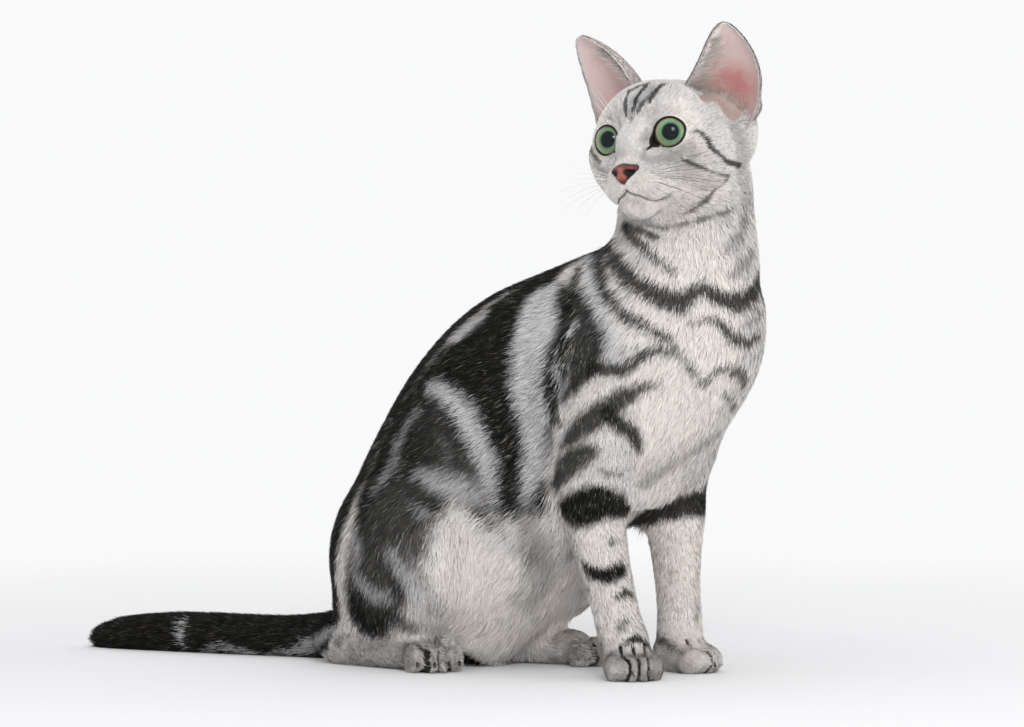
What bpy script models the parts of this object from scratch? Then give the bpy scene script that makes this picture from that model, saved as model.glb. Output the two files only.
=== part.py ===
# A sitting silver tabby cat, life size, as a still museum model.
#
# The cat faces -Y and sits on its haunches. +X is its own left side and +Z is up.
# The body is fused from lofted tubes and from a head worked out as one smooth surface,
# and is then parted into named pieces with thin cuts. Sizes include the coat.

import math

import bmesh
import bpy
import numpy as np
from mathutils import Euler, Matrix, Vector

# The tables below are in 440ths of the cat's height, floor to ear tips
HEIGHT = 0.415
MM = HEIGHT / 440

# How fine the work is
TORSO_VOXEL = 4.0 * MM
TORSO_SMOOTHING = 26
BODY_VOXEL = 2.8 * MM
BODY_SMOOTHING = 4
BODY_TRIANGLES = 4000
CUT_GAP = 0.00035
WELD = 0.00001
FLAT_ANGLE = 2
RING_STEPS = 4
TUBE_SIDES = 28
HEAD_RINGS = 48
HEAD_SIDES = 64

# Where the head is held, and how it is turned: it looks over the right shoulder
HEAD_CENTRE = (13, -13, 355)
HEAD_TURN = -87
HEAD_NOD = 0
HEAD_TILT = -4.5

EYE_RADIUS = 11.5
EYE_SIDES = 14
EYE_PLACE = (22.6, 28.7, 5.9)
# The lids open as a cone round the gaze, which leans outwards
GAZE = (0.25, 0.965, 0.02)
LID_RADII = (10.4, 13.5)

PART_NAME = "tabby_cat"
COLOURS = {
    "silver": (0.62, 0.60, 0.58),
    "charcoal": (0.06, 0.055, 0.05),
    "pink": (0.72, 0.42, 0.38),
    "green": (0.30, 0.42, 0.20),
}
# The colour and roughness of a piece by the first word of its name; the rest are silver
FINISHES = {
    "tail": ("charcoal", 0.85),
    "ear": ("pink", 0.8),
    "nose": ("pink", 0.5),
    "eye": ("green", 0.08),
}

# A section of a tube: x, y and z of its middle, its half width, its reach to the back,
# its reach to the front, and how far it is turned about +Z, in degrees
TRUNK = [
    (-4, 194, -6, 46, 40, 30, 0),
    (-4, 186, 40, 62, 60, 50, 0),
    (-3, 172, 78, 68, 68, 58, 0),
    (-1, 152, 118, 69, 70, 62, 0),
    (3, 120, 156, 68, 81, 64, 0),
    (9, 84, 190, 66, 84, 66, -3),
    (16, 46, 220, 62, 69, 70, -8),
    (26, 10, 248, 60, 44, 76, -14),
    (33, -9, 276, 54, 34, 70, -20),
    (36, -14, 304, 49, 35, 54, -34),
    (37, -15, 334, 46, 40, 42, -50),
    (35, -14, 362, 40, 36, 34, -60),
]
BRISKET = [
    (32, -3, 276, 36, 40, 44, -16),
    (31, -12, 250, 52, 48, 62, -15),
    (28, -16, 222, 56, 50, 59, -14),
    (22, -6, 184, 50, 50, 46, -12),
    (18, 8, 150, 42, 46, 38, -10),
    (16, 22, 122, 30, 38, 28, -8),
]
BELLY = [
    (18, 18, 160, 48, 50, 42, -8),
    (12, 56, 132, 54, 56, 46, -6),
    (8, 90, 104, 58, 60, 50, 0),
    (6, 116, 72, 58, 58, 50, 0),
    (4, 134, 40, 50, 44, 42, 0),
    (-6, 146, 12, 36, 34, 30, 0),
]
FORELEGS = {
    "right": [
        (-14, 34, 240, 12, 20, 20, -10),
        (-22, 18, 212, 20, 32, 28, -10),
        (-27, 12, 180, 25, 38, 32, -10),
        (-26, 14, 155, 26, 36, 30, -10),
        (-21, 21, 130, 26, 28, 25, -10),
        (-18, 22, 104, 22, 22, 20, -10),
        (-18, 14, 74, 18, 18.5, 17, -10),
        (-19, 5, 44, 16, 16.5, 16.5, -10),
        (-19, -1, 24, 17, 16, 18, -10),
        (-19, -6, 8, 15, 14, 16, -10),
    ],
    "left": [
        (58, 24, 240, 12, 20, 20, -10),
        (66, 8, 212, 20, 32, 28, -10),
        (68, 2, 180, 25, 38, 32, -10),
        (63, 3, 155, 23, 36, 25, -10),
        (58, 6, 130, 21, 28, 21, -10),
        (54, 5, 104, 22, 22, 20, -10),
        (51, 2, 74, 17, 18, 17, -10),
        (49, -1, 44, 15.5, 16, 16, -10),
        (48, -2, 24, 16, 16, 17, -10),
        (47, -4, 8, 15, 14, 16, -10),
    ],
}
# Where the middle of each paw's toes stands, and the paw's heading about +Z
PAWS = {
    "forepaw_right": ((-23, -9, 0), -40),
    "forepaw_left": ((46, -9, 0), 6),
    "hindpaw_right": ((-54, 134, 0), -34),
    "hindpaw_left": ((46, 78, 0), 6),
}
# The hind soles' own headings: the right foot's toes are turned out from its sole
SOLE_TURNS = {"hindpaw_right": -6, "hindpaw_left": 6}
# Each haunch runs from the hip forward to the knee and down to the hock
HAUNCHES = {
    "right": [
        (-22, 206, 62, 34, 40, 40, 0),
        (-40, 186, 76, 38, 58, 56, 0),
        (-50, 154, 80, 34, 64, 62, 0),
        (-54, 122, 78, 28, 46, 48, 0),
        (-54, 106, 76, 18, 28, 30, 0),
    ],
    "left": [
        (22, 190, 62, 34, 40, 40, 0),
        (40, 158, 76, 38, 58, 56, 0),
        (50, 118, 80, 34, 64, 62, 0),
        (54, 84, 78, 28, 46, 48, 0),
        (54, 66, 76, 18, 28, 30, 0),
    ],
}
TAIL = [
    (-4, 218, 26, 20, 20, 20, 0),
    (-10, 248, 17.5, 18, 18, 18, 0),
    (-18, 290, 14.5, 15.5, 15.5, 15.5, 0),
    (-28, 340, 14.5, 15.5, 15.5, 15.5, 0),
    (-36, 390, 14, 15, 15, 15, 0),
    (-42, 430, 11.5, 12.5, 12.5, 12.5, 0),
    (-45, 453, 8, 8, 8, 8, 0),
]

# The head's lumps in its own frame: left, forward and up of its middle, then three radii.
# A lump off the middle is made on both sides.
HEAD_LUMPS = {
    "cranium": ((0, -14, 12), (44, 42, 35)),
    "forehead": ((0, 12, 20), (36, 27, 25)),
    "face": ((0, 14, -6), (41, 28, 27)),
    "cheekbone": ((33, 8, -2), (18, 21, 18)),
    "cheek": ((30, 1, -14), (19, 25, 19)),
    "ruff": ((38, -24, 10), (18, 22, 29)),
    "brow": ((22, 24, 15), (13, 12, 11.5)),
    "bridge": ((0, 34, -1), (15, 21, 15)),
    "nose": ((0, 49, -20), (10, 10, 8.5)),
    "muzzle": ((0, 33, -25), (20, 19, 13)),
    "whisker_pad": ((10, 40, -27), (12.5, 14, 11)),
    "chin": ((0, 38, -40), (12, 11, 10)),
    "jaw": ((0, 12, -31), (27, 25, 14)),
}
LUMP_BLEND = 3.2

# Planes that part the body: a point, then the way to the side that is cut off
HEAD_PLANE = ((10, -13, 311), (-0.35, 0, 0.94))
NECK_PLANE = ((29, 0, 264), (0.15, -0.50, 0.85))
CHEST_PLANE = ((10, 66, 200), (0.14, -0.78, 0.61))
WRIST_HEIGHT = 34
ELBOW_HEIGHT = 158
TAIL_STEPS = (247, 318, 388)
# The hind feet are cut off by boxes: their lowest and highest corners, right side
HINDFOOT_BOX = ((-84, 96, -10), (-35, 262, 27))
HINDFOOT_SHIFT = {"right": (0, 0), "left": (-8, -56)}
# A thigh is cut off by an ellipsoid that stands mostly outside the body: its middle, its radii
THIGH_CUTTERS = {
    "right": ((-100, 154, 80), (70, 66, 66)),
    "left": ((100, 126, 80), (70, 70, 66)),
}
CUTTER_GROWTH = 2.5
CUTTER_DETAIL = (1, 14)
NOSE_PLACE = (0, 55.5, -21)
NOSE_RADII = (9.5, 7, 6.5)

# Toes: to the side and ahead of the middle of the paw. The floor takes a thin slice off them
FORE_TOES = [(-14, -9), (-5, -16), (5, -16), (14, -9)]
HIND_TOES = [(-15, -6), (-5.2, -13), (5.2, -13), (15, -6)]
FLOOR_SINK = 1.2
# The hind sole from the heel to the toes, as sections of a tube
HIND_SOLE = [
    (0, 100, 26, 12, 14, 14, 0),
    (0, 92, 17, 14, 17, 17, 0),
    (0, 60, 13, 15, 15, 13, 0),
    (0, 25, 12, 16, 14, 12, 0),
    (0, 0, 11, 16, 13, 11, 0),
]

# An ear: where its root is in the head's frame, where each tip is, how far its mouth is
# turned outwards, and its half width and the depth of its cup at the root
EAR_ROOT = (35, -9, 24)
EAR_TIPS = {"left": (59, 11, 76), "right": (56, 10, 82)}
EAR_TURN = 22
# How far each ear's middle bows outwards
EAR_BOWS = {"left": 6.5, "right": -5}
EAR_HALF_WIDTH = 23.5
EAR_CUP = 16
EAR_WRAP = 112
EAR_THICKNESS = 2.4
EAR_RINGS = 10
EAR_COLUMNS = 9
EAR_DROP = 18


def clear_scene():
    for obj in list(bpy.data.objects):
        bpy.data.objects.remove(obj)


def material(name, colour, roughness=0.85):
    """A Principled material in one of the named colours."""
    mat = bpy.data.materials.get(name) or bpy.data.materials.new(name)
    mat.use_nodes = True
    shader = mat.node_tree.nodes["Principled BSDF"]
    shader.inputs["Base Color"].default_value = (*COLOURS[colour], 1)
    shader.inputs["Roughness"].default_value = roughness
    return mat


def new_object(name, verts, faces, collection):
    mesh = bpy.data.meshes.new(name)
    mesh.from_pydata([tuple(v) for v in verts], [], faces)
    obj = bpy.data.objects.new(name, mesh)
    collection.objects.link(obj)
    return obj


def smooth_stations(stations, steps):
    """More stations on a Catmull-Rom curve through the given ones, in metres."""
    rows = np.array(stations, float) * MM
    ends = np.vstack([2 * rows[0] - rows[1], rows, 2 * rows[-1] - rows[-2]])
    out = []
    for a, b, c, d in zip(ends, ends[1:], ends[2:], ends[3:]):
        for t in np.arange(steps) / steps:
            curve = 2 * b + (c - a) * t + (2 * a - 5 * b + 4 * c - d) * t**2
            out.append((curve + (3 * b - a - 3 * c + d) * t**3) / 2)
    out.append(rows[-1])
    return np.array(out)


def grid_faces(rings, sides):
    """Quads between rings of points, and a fan to one point at each end."""
    faces = []
    for ring in range(rings - 1):
        for side in range(sides):
            near, far = ring * sides, (ring + 1) * sides
            step = (side + 1) % sides
            faces.append((near + side, near + step, far + step, far + side))
    first, last = rings * sides, rings * sides + 1
    for side in range(sides):
        step = (side + 1) % sides
        faces.append((first, step, side))
        end = (rings - 1) * sides
        faces.append((last, end + side, end + step))
    return faces


def face_out(obj):
    shape = bmesh.new()
    shape.from_mesh(obj.data)
    bmesh.ops.recalc_face_normals(shape, faces=shape.faces)
    shape.to_mesh(obj.data)
    shape.free()
    return obj


def tube(name, stations, front, collection, steps=RING_STEPS, sides=TUBE_SIDES):
    """A loft of egg-shaped sections: each is half an ellipse to the back and half to the front."""
    rows = smooth_stations(stations, steps)
    middle, wide, back, fore = rows[:, :3], rows[:, 3], rows[:, 4], rows[:, 5]
    along = np.gradient(middle, axis=0)
    along /= np.linalg.norm(along, axis=1, keepdims=True)
    turn = rows[:, 6] / MM * math.pi / 180
    ahead = np.array(front, float)
    ahead = np.stack(
        [
            ahead[0] * np.cos(turn) - ahead[1] * np.sin(turn),
            ahead[0] * np.sin(turn) + ahead[1] * np.cos(turn),
            np.full(len(rows), ahead[2]),
        ],
        -1,
    )
    side = np.cross(ahead, along)
    side /= np.linalg.norm(side, axis=1, keepdims=True)
    ahead = np.cross(along, side)
    angle = np.linspace(0, 2 * math.pi, sides, endpoint=False)
    across = np.cos(angle)[None, :, None] * (side * wide[:, None])[:, None, :]
    reach = np.where(np.sin(angle) > 0, fore[:, None], back[:, None]) * np.sin(angle)
    verts = middle[:, None, :] + across + reach[:, :, None] * ahead[:, None, :]
    points = np.vstack([verts.reshape(-1, 3), middle[0], middle[-1]])
    return face_out(new_object(name, points, grid_faces(len(rows), sides), collection))


def ellipsoid(name, centre, radii, collection, turn=0.0, about=(0, 0, 0), sides=20):
    """An ellipsoid in millimetres, turned about +Z round a point after it is placed."""
    shape = bmesh.new()
    bmesh.ops.create_uvsphere(shape, u_segments=sides, v_segments=sides * 5 // 8, radius=1)
    spin = Matrix.Rotation(math.radians(turn), 4, "Z")
    place = Matrix.Translation(Vector(about) * MM) @ spin
    place = place @ Matrix.Translation(Vector(centre) * MM)
    place = place @ Matrix.Diagonal((*(Vector(radii) * MM), 1))
    bmesh.ops.transform(shape, matrix=place, verts=shape.verts)
    mesh = bpy.data.meshes.new(name)
    shape.to_mesh(mesh)
    shape.free()
    obj = bpy.data.objects.new(name, mesh)
    collection.objects.link(obj)
    return obj


def head_matrix():
    """From the head's frame, which is left, forward and up, to the cat's."""
    own = Matrix(((1, 0, 0, 0), (0, -1, 0, 0), (0, 0, 1, 0), (0, 0, 0, 1)))
    turn = Euler((math.radians(HEAD_NOD), math.radians(HEAD_TILT), 0)).to_matrix().to_4x4()
    look = Matrix.Rotation(math.radians(HEAD_TURN), 4, "Z")
    return Matrix.Translation(Vector(HEAD_CENTRE) * MM) @ look @ turn @ own


def placed(points, matrix):
    m = np.array(matrix)
    return points @ m[:3, :3].T + m[:3, 3]


def lumps():
    """The head's lumps, with the ones off the middle doubled."""
    out = []
    for centre, radii in HEAD_LUMPS.values():
        out.append((centre, radii))
        if centre[0]:
            out.append(((-centre[0], centre[1], centre[2]), radii))
    return out


def head_field(points):
    """Distance from the head's surface in millimetres, below 0 inside: the lumps melt together."""
    total = np.zeros(len(points))
    for centre, radii in lumps():
        offset = points - np.array(centre, float)
        scaled = np.linalg.norm(offset / radii, axis=1)
        steep = np.linalg.norm(offset / np.square(np.array(radii, float)), axis=1)
        distance = scaled * (scaled - 1) / np.maximum(steep, 1e-9)
        total += np.exp(-distance / LUMP_BLEND)
    return -LUMP_BLEND * np.log(total)


def head_surface(collection):
    """The head as a radius for each direction from its middle, found by halving steps."""
    polar = np.linspace(0, math.pi, HEAD_RINGS + 2)[1:-1]
    round_ = np.linspace(0, 2 * math.pi, HEAD_SIDES, endpoint=False)
    p, r = np.meshgrid(polar, round_, indexing="ij")
    ways = np.stack([np.sin(p) * np.cos(r), np.cos(p), np.sin(p) * np.sin(r)], -1).reshape(-1, 3)
    ways = np.vstack([ways, (0, 1, 0), (0, -1, 0)])
    low, high = np.full(len(ways), 10.0), np.full(len(ways), 80.0)
    for _ in range(24):
        middle = (low + high) / 2
        inside = head_field(ways * middle[:, None]) < 0
        low, high = np.where(inside, middle, low), np.where(inside, high, middle)
    points = placed(ways * low[:, None] * MM, head_matrix())
    return face_out(new_object("head_form", points, grid_faces(HEAD_RINGS, HEAD_SIDES), collection))


def ear_matrix(side):
    """From an ear's own frame, which is outward, to the mouth and along it, to the cat's."""
    sign = 1 if side == "left" else -1
    root, tip = Vector(EAR_ROOT), Vector(EAR_TIPS[side])
    along = (tip - root).normalized()
    turn = math.radians(EAR_TURN)
    mouth = Vector((math.sin(turn), math.cos(turn), 0))
    mouth = (mouth - along * mouth.dot(along)).normalized()
    outward = mouth.cross(along) * -1
    if outward.x < 0:
        outward = -outward
    own = Matrix.Identity(4)
    for row in range(3):
        own[row][0], own[row][1], own[row][2] = outward[row], mouth[row], along[row]
        own[row][3] = root[row] * MM
    return head_matrix() @ Matrix.Diagonal((sign, 1, 1, 1)) @ own


def ear(side, collection):
    """A cupped shell: each section is part of an ellipse, open to the mouth, and the
    half width and the cup's depth both fall to nothing at the rounded tip."""
    height = (Vector(EAR_TIPS[side]) - Vector(EAR_ROOT)).length
    up = np.linspace(-0.05, 1, EAR_RINGS)
    across = np.linspace(-1, 1, EAR_COLUMNS)
    u, a = np.meshgrid(up, across, indexing="ij")
    rise = np.clip(u, 0, 1)
    taper = np.clip(1 - rise**2.2, 0, 1) ** 0.68 + 0.1 * (1 - rise) ** 3
    angle = np.radians(EAR_WRAP - 24 * rise) * a
    x = (EAR_HALF_WIDTH * taper + 1) * np.sin(angle) + EAR_BOWS[side] * np.sin(math.pi * rise)
    y = -(EAR_CUP * taper * (1 - 0.5 * rise) + 1) * np.cos(angle)
    z = u * height - EAR_DROP * np.clip(x / EAR_HALF_WIDTH, 0, 1) * (1 - rise) ** 2
    outer = np.stack([x, y, z], -1)
    normal = np.cross(np.gradient(outer, axis=0), np.gradient(outer, axis=1))
    normal /= np.linalg.norm(normal, axis=2, keepdims=True)
    inner = outer + normal * EAR_THICKNESS
    rings, columns = EAR_RINGS, EAR_COLUMNS
    points = np.vstack([outer.reshape(-1, 3), inner.reshape(-1, 3)])
    count = rings * columns
    faces = []
    for i in range(rings - 1):
        for j in range(columns - 1):
            a0, b0 = i * columns + j, (i + 1) * columns + j
            faces.append((a0, a0 + 1, b0 + 1, b0))
            faces.append((count + a0, count + b0, count + b0 + 1, count + a0 + 1))
    rim = [i * columns for i in range(rings)]
    rim += [(rings - 1) * columns + j for j in range(1, columns)]
    rim += [i * columns + columns - 1 for i in range(rings - 2, -1, -1)]
    rim += [j for j in range(columns - 2, 0, -1)]
    for k, v in enumerate(rim):
        w = rim[(k + 1) % len(rim)]
        faces.append((v, w, count + w, count + v))
    points = placed(points * MM, ear_matrix(side))
    return face_out(new_object(f"ear_{side}", points, faces, collection))


def toes(name, rows, radii, collection):
    """Four toes of one paw: each row is how far to the side and ahead a toe sits."""
    place, turn = PAWS[name]
    height = radii[2] - FLOOR_SINK
    return [ellipsoid(name, (*row, height), radii, collection, turn, place) for row in rows]


def forepaw(name, collection):
    place, turn = PAWS[name]
    forms = [ellipsoid(name, (0, 6, 13), (18.5, 19, 15), collection, turn, place)]
    return forms + toes(name, FORE_TOES, (7.4, 10.5, 10), collection)


def hindpaw(name, collection):
    place, _ = PAWS[name]
    spin = np.array(Matrix.Rotation(math.radians(SOLE_TURNS[name]), 3, "Z"))
    rows = []
    for row in HIND_SOLE:
        rows.append((*(spin @ row[:3] + np.array(place, float)), *row[3:]))
    form = tube(name, rows, (0, 0, -1), collection)
    return [form] + toes(name, HIND_TOES, (7.2, 11, 11), collection)


def torso_forms(collection):
    """The big masses, which melt into each other most."""
    forward, down = (0, -1, 0), (0, 0, -1)
    forms = [
        tube("trunk", TRUNK, forward, collection),
        tube("brisket", BRISKET, forward, collection),
        tube("belly", BELLY, forward, collection),
    ]
    for side in ("right", "left"):
        forms.append(tube("foreleg", FORELEGS[side], forward, collection))
        forms.append(tube("haunch", HAUNCHES[side], down, collection))
    return forms


def limb_forms(collection):
    """The finer forms, which are fused after the torso is smooth."""
    forms = [tube("tail", TAIL, (0, 0, -1), collection), head_surface(collection)]
    for side in ("right", "left"):
        forms.append(tube("foreleg", FORELEGS[side][3:], (0, -1, 0), collection))
        forms += forepaw(f"forepaw_{side}", collection)
        forms += hindpaw(f"hindpaw_{side}", collection)
    return forms


def joined(name, forms, collection):
    """One object that holds every form's mesh. The forms are removed."""
    shape = bmesh.new()
    for form in forms:
        shape.from_mesh(form.data)
        bpy.data.objects.remove(form)
    mesh = bpy.data.meshes.new(name)
    shape.to_mesh(mesh)
    shape.free()
    obj = bpy.data.objects.new(name, mesh)
    collection.objects.link(obj)
    return obj


def applied(obj):
    """The object with its modifiers made real."""
    bpy.context.view_layer.update()
    graph = bpy.context.evaluated_depsgraph_get()
    mesh = bpy.data.meshes.new_from_object(obj.evaluated_get(graph), depsgraph=graph)
    obj.modifiers.clear()
    obj.data = mesh
    return obj


def fused(name, forms, voxel, smoothing, collection):
    """The forms under one skin: voxels join them, and smoothing melts the creases."""
    obj = joined(name, forms, collection)
    remesh = obj.modifiers.new("skin", "REMESH")
    remesh.mode = "VOXEL"
    remesh.voxel_size = voxel
    smooth = obj.modifiers.new("soften", "SMOOTH")
    smooth.factor = 0.5
    smooth.iterations = smoothing
    return applied(obj)


def whole_body(collection):
    torso = fused("torso", torso_forms(collection), TORSO_VOXEL, TORSO_SMOOTHING, collection)
    forms = [torso] + limb_forms(collection)
    body = fused("body", forms, BODY_VOXEL, BODY_SMOOTHING, collection)
    fewer = body.modifiers.new("fewer", "DECIMATE")
    fewer.ratio = BODY_TRIANGLES / (2 * len(body.data.polygons))
    return applied(body)


def boolean(target, cutter, operation, name=None):
    """The target cut by or kept within the cutter, as a new object if it is given a name."""
    if name:
        target = bpy.data.objects.new(name, target.data.copy())
        bpy.data.collections[PART_NAME].objects.link(target)
    cut = target.modifiers.new("cut", "BOOLEAN")
    cut.operation = operation
    cut.solver = "EXACT"
    cut.object = cutter
    return applied(target)


def grown(cutter, by):
    """A second cutter that is a little larger all round."""
    shape = bmesh.new()
    shape.from_mesh(cutter.data)
    shape.normal_update()
    moves = [vert.normal * vert.calc_shell_factor() * by for vert in shape.verts]
    for vert, move in zip(shape.verts, moves):
        vert.co += move
    mesh = bpy.data.meshes.new(cutter.name + "_grown")
    shape.to_mesh(mesh)
    shape.free()
    return as_cutter(bpy.data.objects.new(mesh.name, mesh))


def as_cutter(obj):
    for collection in list(obj.users_collection):
        collection.objects.unlink(obj)
    bpy.data.collections["cutters"].objects.link(obj)
    obj.display_type = "WIRE"
    obj.hide_render = True
    return obj


def box(name, low, high):
    """A box between two corners in the table's units."""
    shape = bmesh.new()
    bmesh.ops.create_cube(shape, size=1)
    low, high = Vector(low) * MM, Vector(high) * MM
    place = Matrix.Translation((low + high) / 2) @ Matrix.Diagonal((*(high - low), 1))
    bmesh.ops.transform(shape, matrix=place, verts=shape.verts)
    mesh = bpy.data.meshes.new(name)
    shape.to_mesh(mesh)
    shape.free()
    return as_cutter(bpy.data.objects.new(name, mesh))


def half_space(name, point, way, reach=0.6):
    """A large box that fills the side of a plane that the way points to."""
    shape = bmesh.new()
    bmesh.ops.create_cube(shape, size=2 * reach)
    turn = Vector(way).to_track_quat("Z", "Y").to_matrix().to_4x4()
    place = Matrix.Translation(Vector(point) * MM) @ turn @ Matrix.Translation((0, 0, reach))
    bmesh.ops.transform(shape, matrix=place, verts=shape.verts)
    mesh = bpy.data.meshes.new(name)
    shape.to_mesh(mesh)
    shape.free()
    return as_cutter(bpy.data.objects.new(name, mesh))


def part_off(rest, name, cutter):
    """Takes what is inside the cutter off the rest, as a piece, with a thin gap between."""
    piece = boolean(rest, cutter, "INTERSECT", name)
    boolean(rest, grown(cutter, CUT_GAP), "DIFFERENCE")
    return piece


def foreleg_cutter(side):
    rows = []
    for x, y, z, wide, back, front, turn in FORELEGS[side]:
        grow = CUTTER_GROWTH
        rows.append((x, y, z, wide + grow, back + grow, front + grow, turn))
    rows = [row for row in rows if row[2] < ELBOW_HEIGHT]
    x, y, z, wide, back, front, turn = rows[-1]
    rows.append((x, y - 12, -14, wide + 10, back + 10, front + 14, turn))
    rows[-2] = (x, y - 6, z, wide + 10, back + 10, front + 12, turn)
    return as_cutter(tube(f"foreleg_cutter_{side}", rows, (0, -1, 0), spare(), *CUTTER_DETAIL))


def spare():
    return bpy.data.collections["cutters"]


def part_limbs(rest):
    """Cuts the legs and feet off the trunk."""
    pieces = []
    for side in ("right", "left"):
        leg = part_off(rest, f"foreleg_{side}", foreleg_cutter(side))
        wrist = half_space(f"wrist_cutter_{side}", (0, 0, WRIST_HEIGHT), (0, 0, -1))
        pieces += [leg, part_off(leg, f"forepaw_{side}", wrist)]
        dx, dy = HINDFOOT_SHIFT[side]
        low, high = [list(corner) for corner in HINDFOOT_BOX]
        if side == "left":
            low[0], high[0] = -high[0], -low[0]
        corners = [(c[0] + dx, c[1] + dy, c[2]) for c in (low, high)]
        foot = part_off(rest, f"hindfoot_{side}", box(f"foot_cutter_{side}", *corners))
        thigh = as_cutter(ellipsoid(f"thigh_cutter_{side}", *THIGH_CUTTERS[side], spare()))
        pieces += [foot, part_off(rest, f"thigh_{side}", thigh)]
    return pieces


def part_tail(rest):
    pieces = []
    names = ("tail_base", "tail_middle", "tail_tip")
    for name, reach in reversed(list(zip(names, TAIL_STEPS))):
        cutter = half_space(name + "_cutter", (0, reach, 0), (0, 1, 0))
        pieces.append(part_off(rest, name, cutter))
    return pieces


def eye(side):
    """An eyeball, and the socket with the open lids that it needs."""
    sign = 1 if side == "left" else -1
    centre = Vector((EYE_PLACE[0] * sign, EYE_PLACE[1], EYE_PLACE[2]))
    middle = placed(np.array([centre]) * MM, head_matrix())[0] / MM
    parts = bpy.data.collections[PART_NAME]
    ball = ellipsoid(f"eye_{side}", tuple(middle), (EYE_RADIUS,) * 3, parts, sides=EYE_SIDES)
    shape = bmesh.new()
    near, far = LID_RADII
    depth = 22
    bmesh.ops.create_cone(
        shape, cap_ends=True, segments=16, radius1=near * MM, radius2=far * MM, depth=depth * MM
    )
    gaze = Vector((GAZE[0] * sign, GAZE[1], GAZE[2])).normalized()
    turn = gaze.to_track_quat("Z", "Y").to_matrix().to_4x4()
    place = head_matrix() @ Matrix.Translation((centre + gaze * depth / 2) * MM) @ turn
    bmesh.ops.transform(shape, matrix=place, verts=shape.verts)
    bmesh.ops.recalc_face_normals(shape, faces=shape.faces)
    mesh = bpy.data.meshes.new(f"lids_{side}")
    shape.to_mesh(mesh)
    shape.free()
    return ball, as_cutter(bpy.data.objects.new(mesh.name, mesh))


def part_head(rest):
    """The head with its eyes, nose and ears."""
    parts = bpy.data.collections[PART_NAME]
    skull = grown(rest, CUT_GAP)
    head = part_off(rest, "head", half_space("head_cutter", *HEAD_PLANE))
    pieces = [head]
    for side in ("right", "left"):
        ball, lids = eye(side)
        boolean(head, grown(ball, CUT_GAP), "DIFFERENCE")
        boolean(head, lids, "DIFFERENCE")
        shell = boolean(ear(side, parts), skull, "DIFFERENCE")
        pieces += [ball, shell]
    tip = placed(np.array([NOSE_PLACE]) * MM, head_matrix())[0] / MM
    radii = (NOSE_RADII[1], NOSE_RADII[0], NOSE_RADII[2])
    nose = as_cutter(ellipsoid("nose_cutter", tuple(tip), radii, parts, sides=10))
    pieces.append(part_off(head, "nose", nose))
    return pieces


def largest_part(obj):
    """Drops slivers that a cut may leave: only the largest connected body stays."""
    shape = bmesh.new()
    shape.from_mesh(obj.data)
    groups, left = [], set(shape.verts)
    while left:
        group, edge = set(), [left.pop()]
        while edge:
            vert = edge.pop()
            group.add(vert)
            fresh = {e.other_vert(vert) for e in vert.link_edges} & left
            left -= fresh
            edge += fresh
        groups.append(group)
    groups.sort(key=len)
    for group in groups[:-1]:
        bmesh.ops.delete(shape, geom=list(group), context="VERTS")
    bmesh.ops.remove_doubles(shape, verts=shape.verts, dist=WELD)
    bmesh.ops.dissolve_degenerate(shape, dist=WELD, edges=shape.edges)
    bmesh.ops.dissolve_limit(
        shape, angle_limit=math.radians(FLAT_ANGLE), verts=shape.verts, edges=shape.edges
    )
    bmesh.ops.triangulate(shape, faces=shape.faces)
    folded = [edge for edge in shape.edges if len(edge.link_faces) != 2]
    bmesh.ops.collapse(shape, edges=folded)
    loose = [vert for vert in shape.verts if not vert.link_faces]
    bmesh.ops.delete(shape, geom=loose, context="VERTS")
    shape.to_mesh(obj.data)
    shape.free()


def finish(pieces):
    """Puts the origin at the middle of the box's bottom, and gives each piece its colour."""
    corners = np.vstack([[v.co[:] for v in piece.data.vertices] for piece in pieces])
    low, high = corners.min(0), corners.max(0)
    shift = Matrix.Translation((-(low[0] + high[0]) / 2, -(low[1] + high[1]) / 2, -low[2]))
    for piece in pieces:
        piece.data.transform(shift)
        piece.data.name = piece.name
        kind = piece.name.split("_")[0]
        colour, roughness = FINISHES.get(kind, ("silver", 0.85))
        piece.data.materials.clear()
        piece.data.materials.append(material(colour, colour, roughness))
        piece.data.shade_smooth()
        piece.data.set_sharp_from_angle(angle=math.radians(40))


def main():
    clear_scene()
    for name in (PART_NAME, "cutters"):
        collection = bpy.data.collections.new(name)
        bpy.context.scene.collection.children.link(collection)
    rest = whole_body(bpy.data.collections[PART_NAME])
    boolean(rest, half_space("floor", (0, 0, 0), (0, 0, -1)), "DIFFERENCE")
    pieces = part_tail(rest) + part_head(rest)
    pieces.append(part_off(rest, "neck", half_space("neck_cutter", *NECK_PLANE)))
    pieces += part_limbs(rest)
    pieces.append(part_off(rest, "chest", half_space("chest_cutter", *CHEST_PLANE)))
    rest.name = "trunk"
    pieces.append(rest)
    for piece in pieces:
        largest_part(piece)
    finish(pieces)


if __name__ == "__main__":
    main()
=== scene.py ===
# %% [markdown]
# # A sitting silver tabby cat, life size
# A real cat is bones and muscle under one loose skin, and what the eye sees is the coat on that
# skin. This lesson follows the same order: one skin over the whole body, the lie of the coat, its
# markings, then the face's small parts, and last the coat itself as many thin mesh tufts.
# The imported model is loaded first, as a fixed frame that gives sizes and places.

import math

import bmesh
import bpy
import numpy as np
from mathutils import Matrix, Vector
from mathutils.bvhtree import BVHTree


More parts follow.
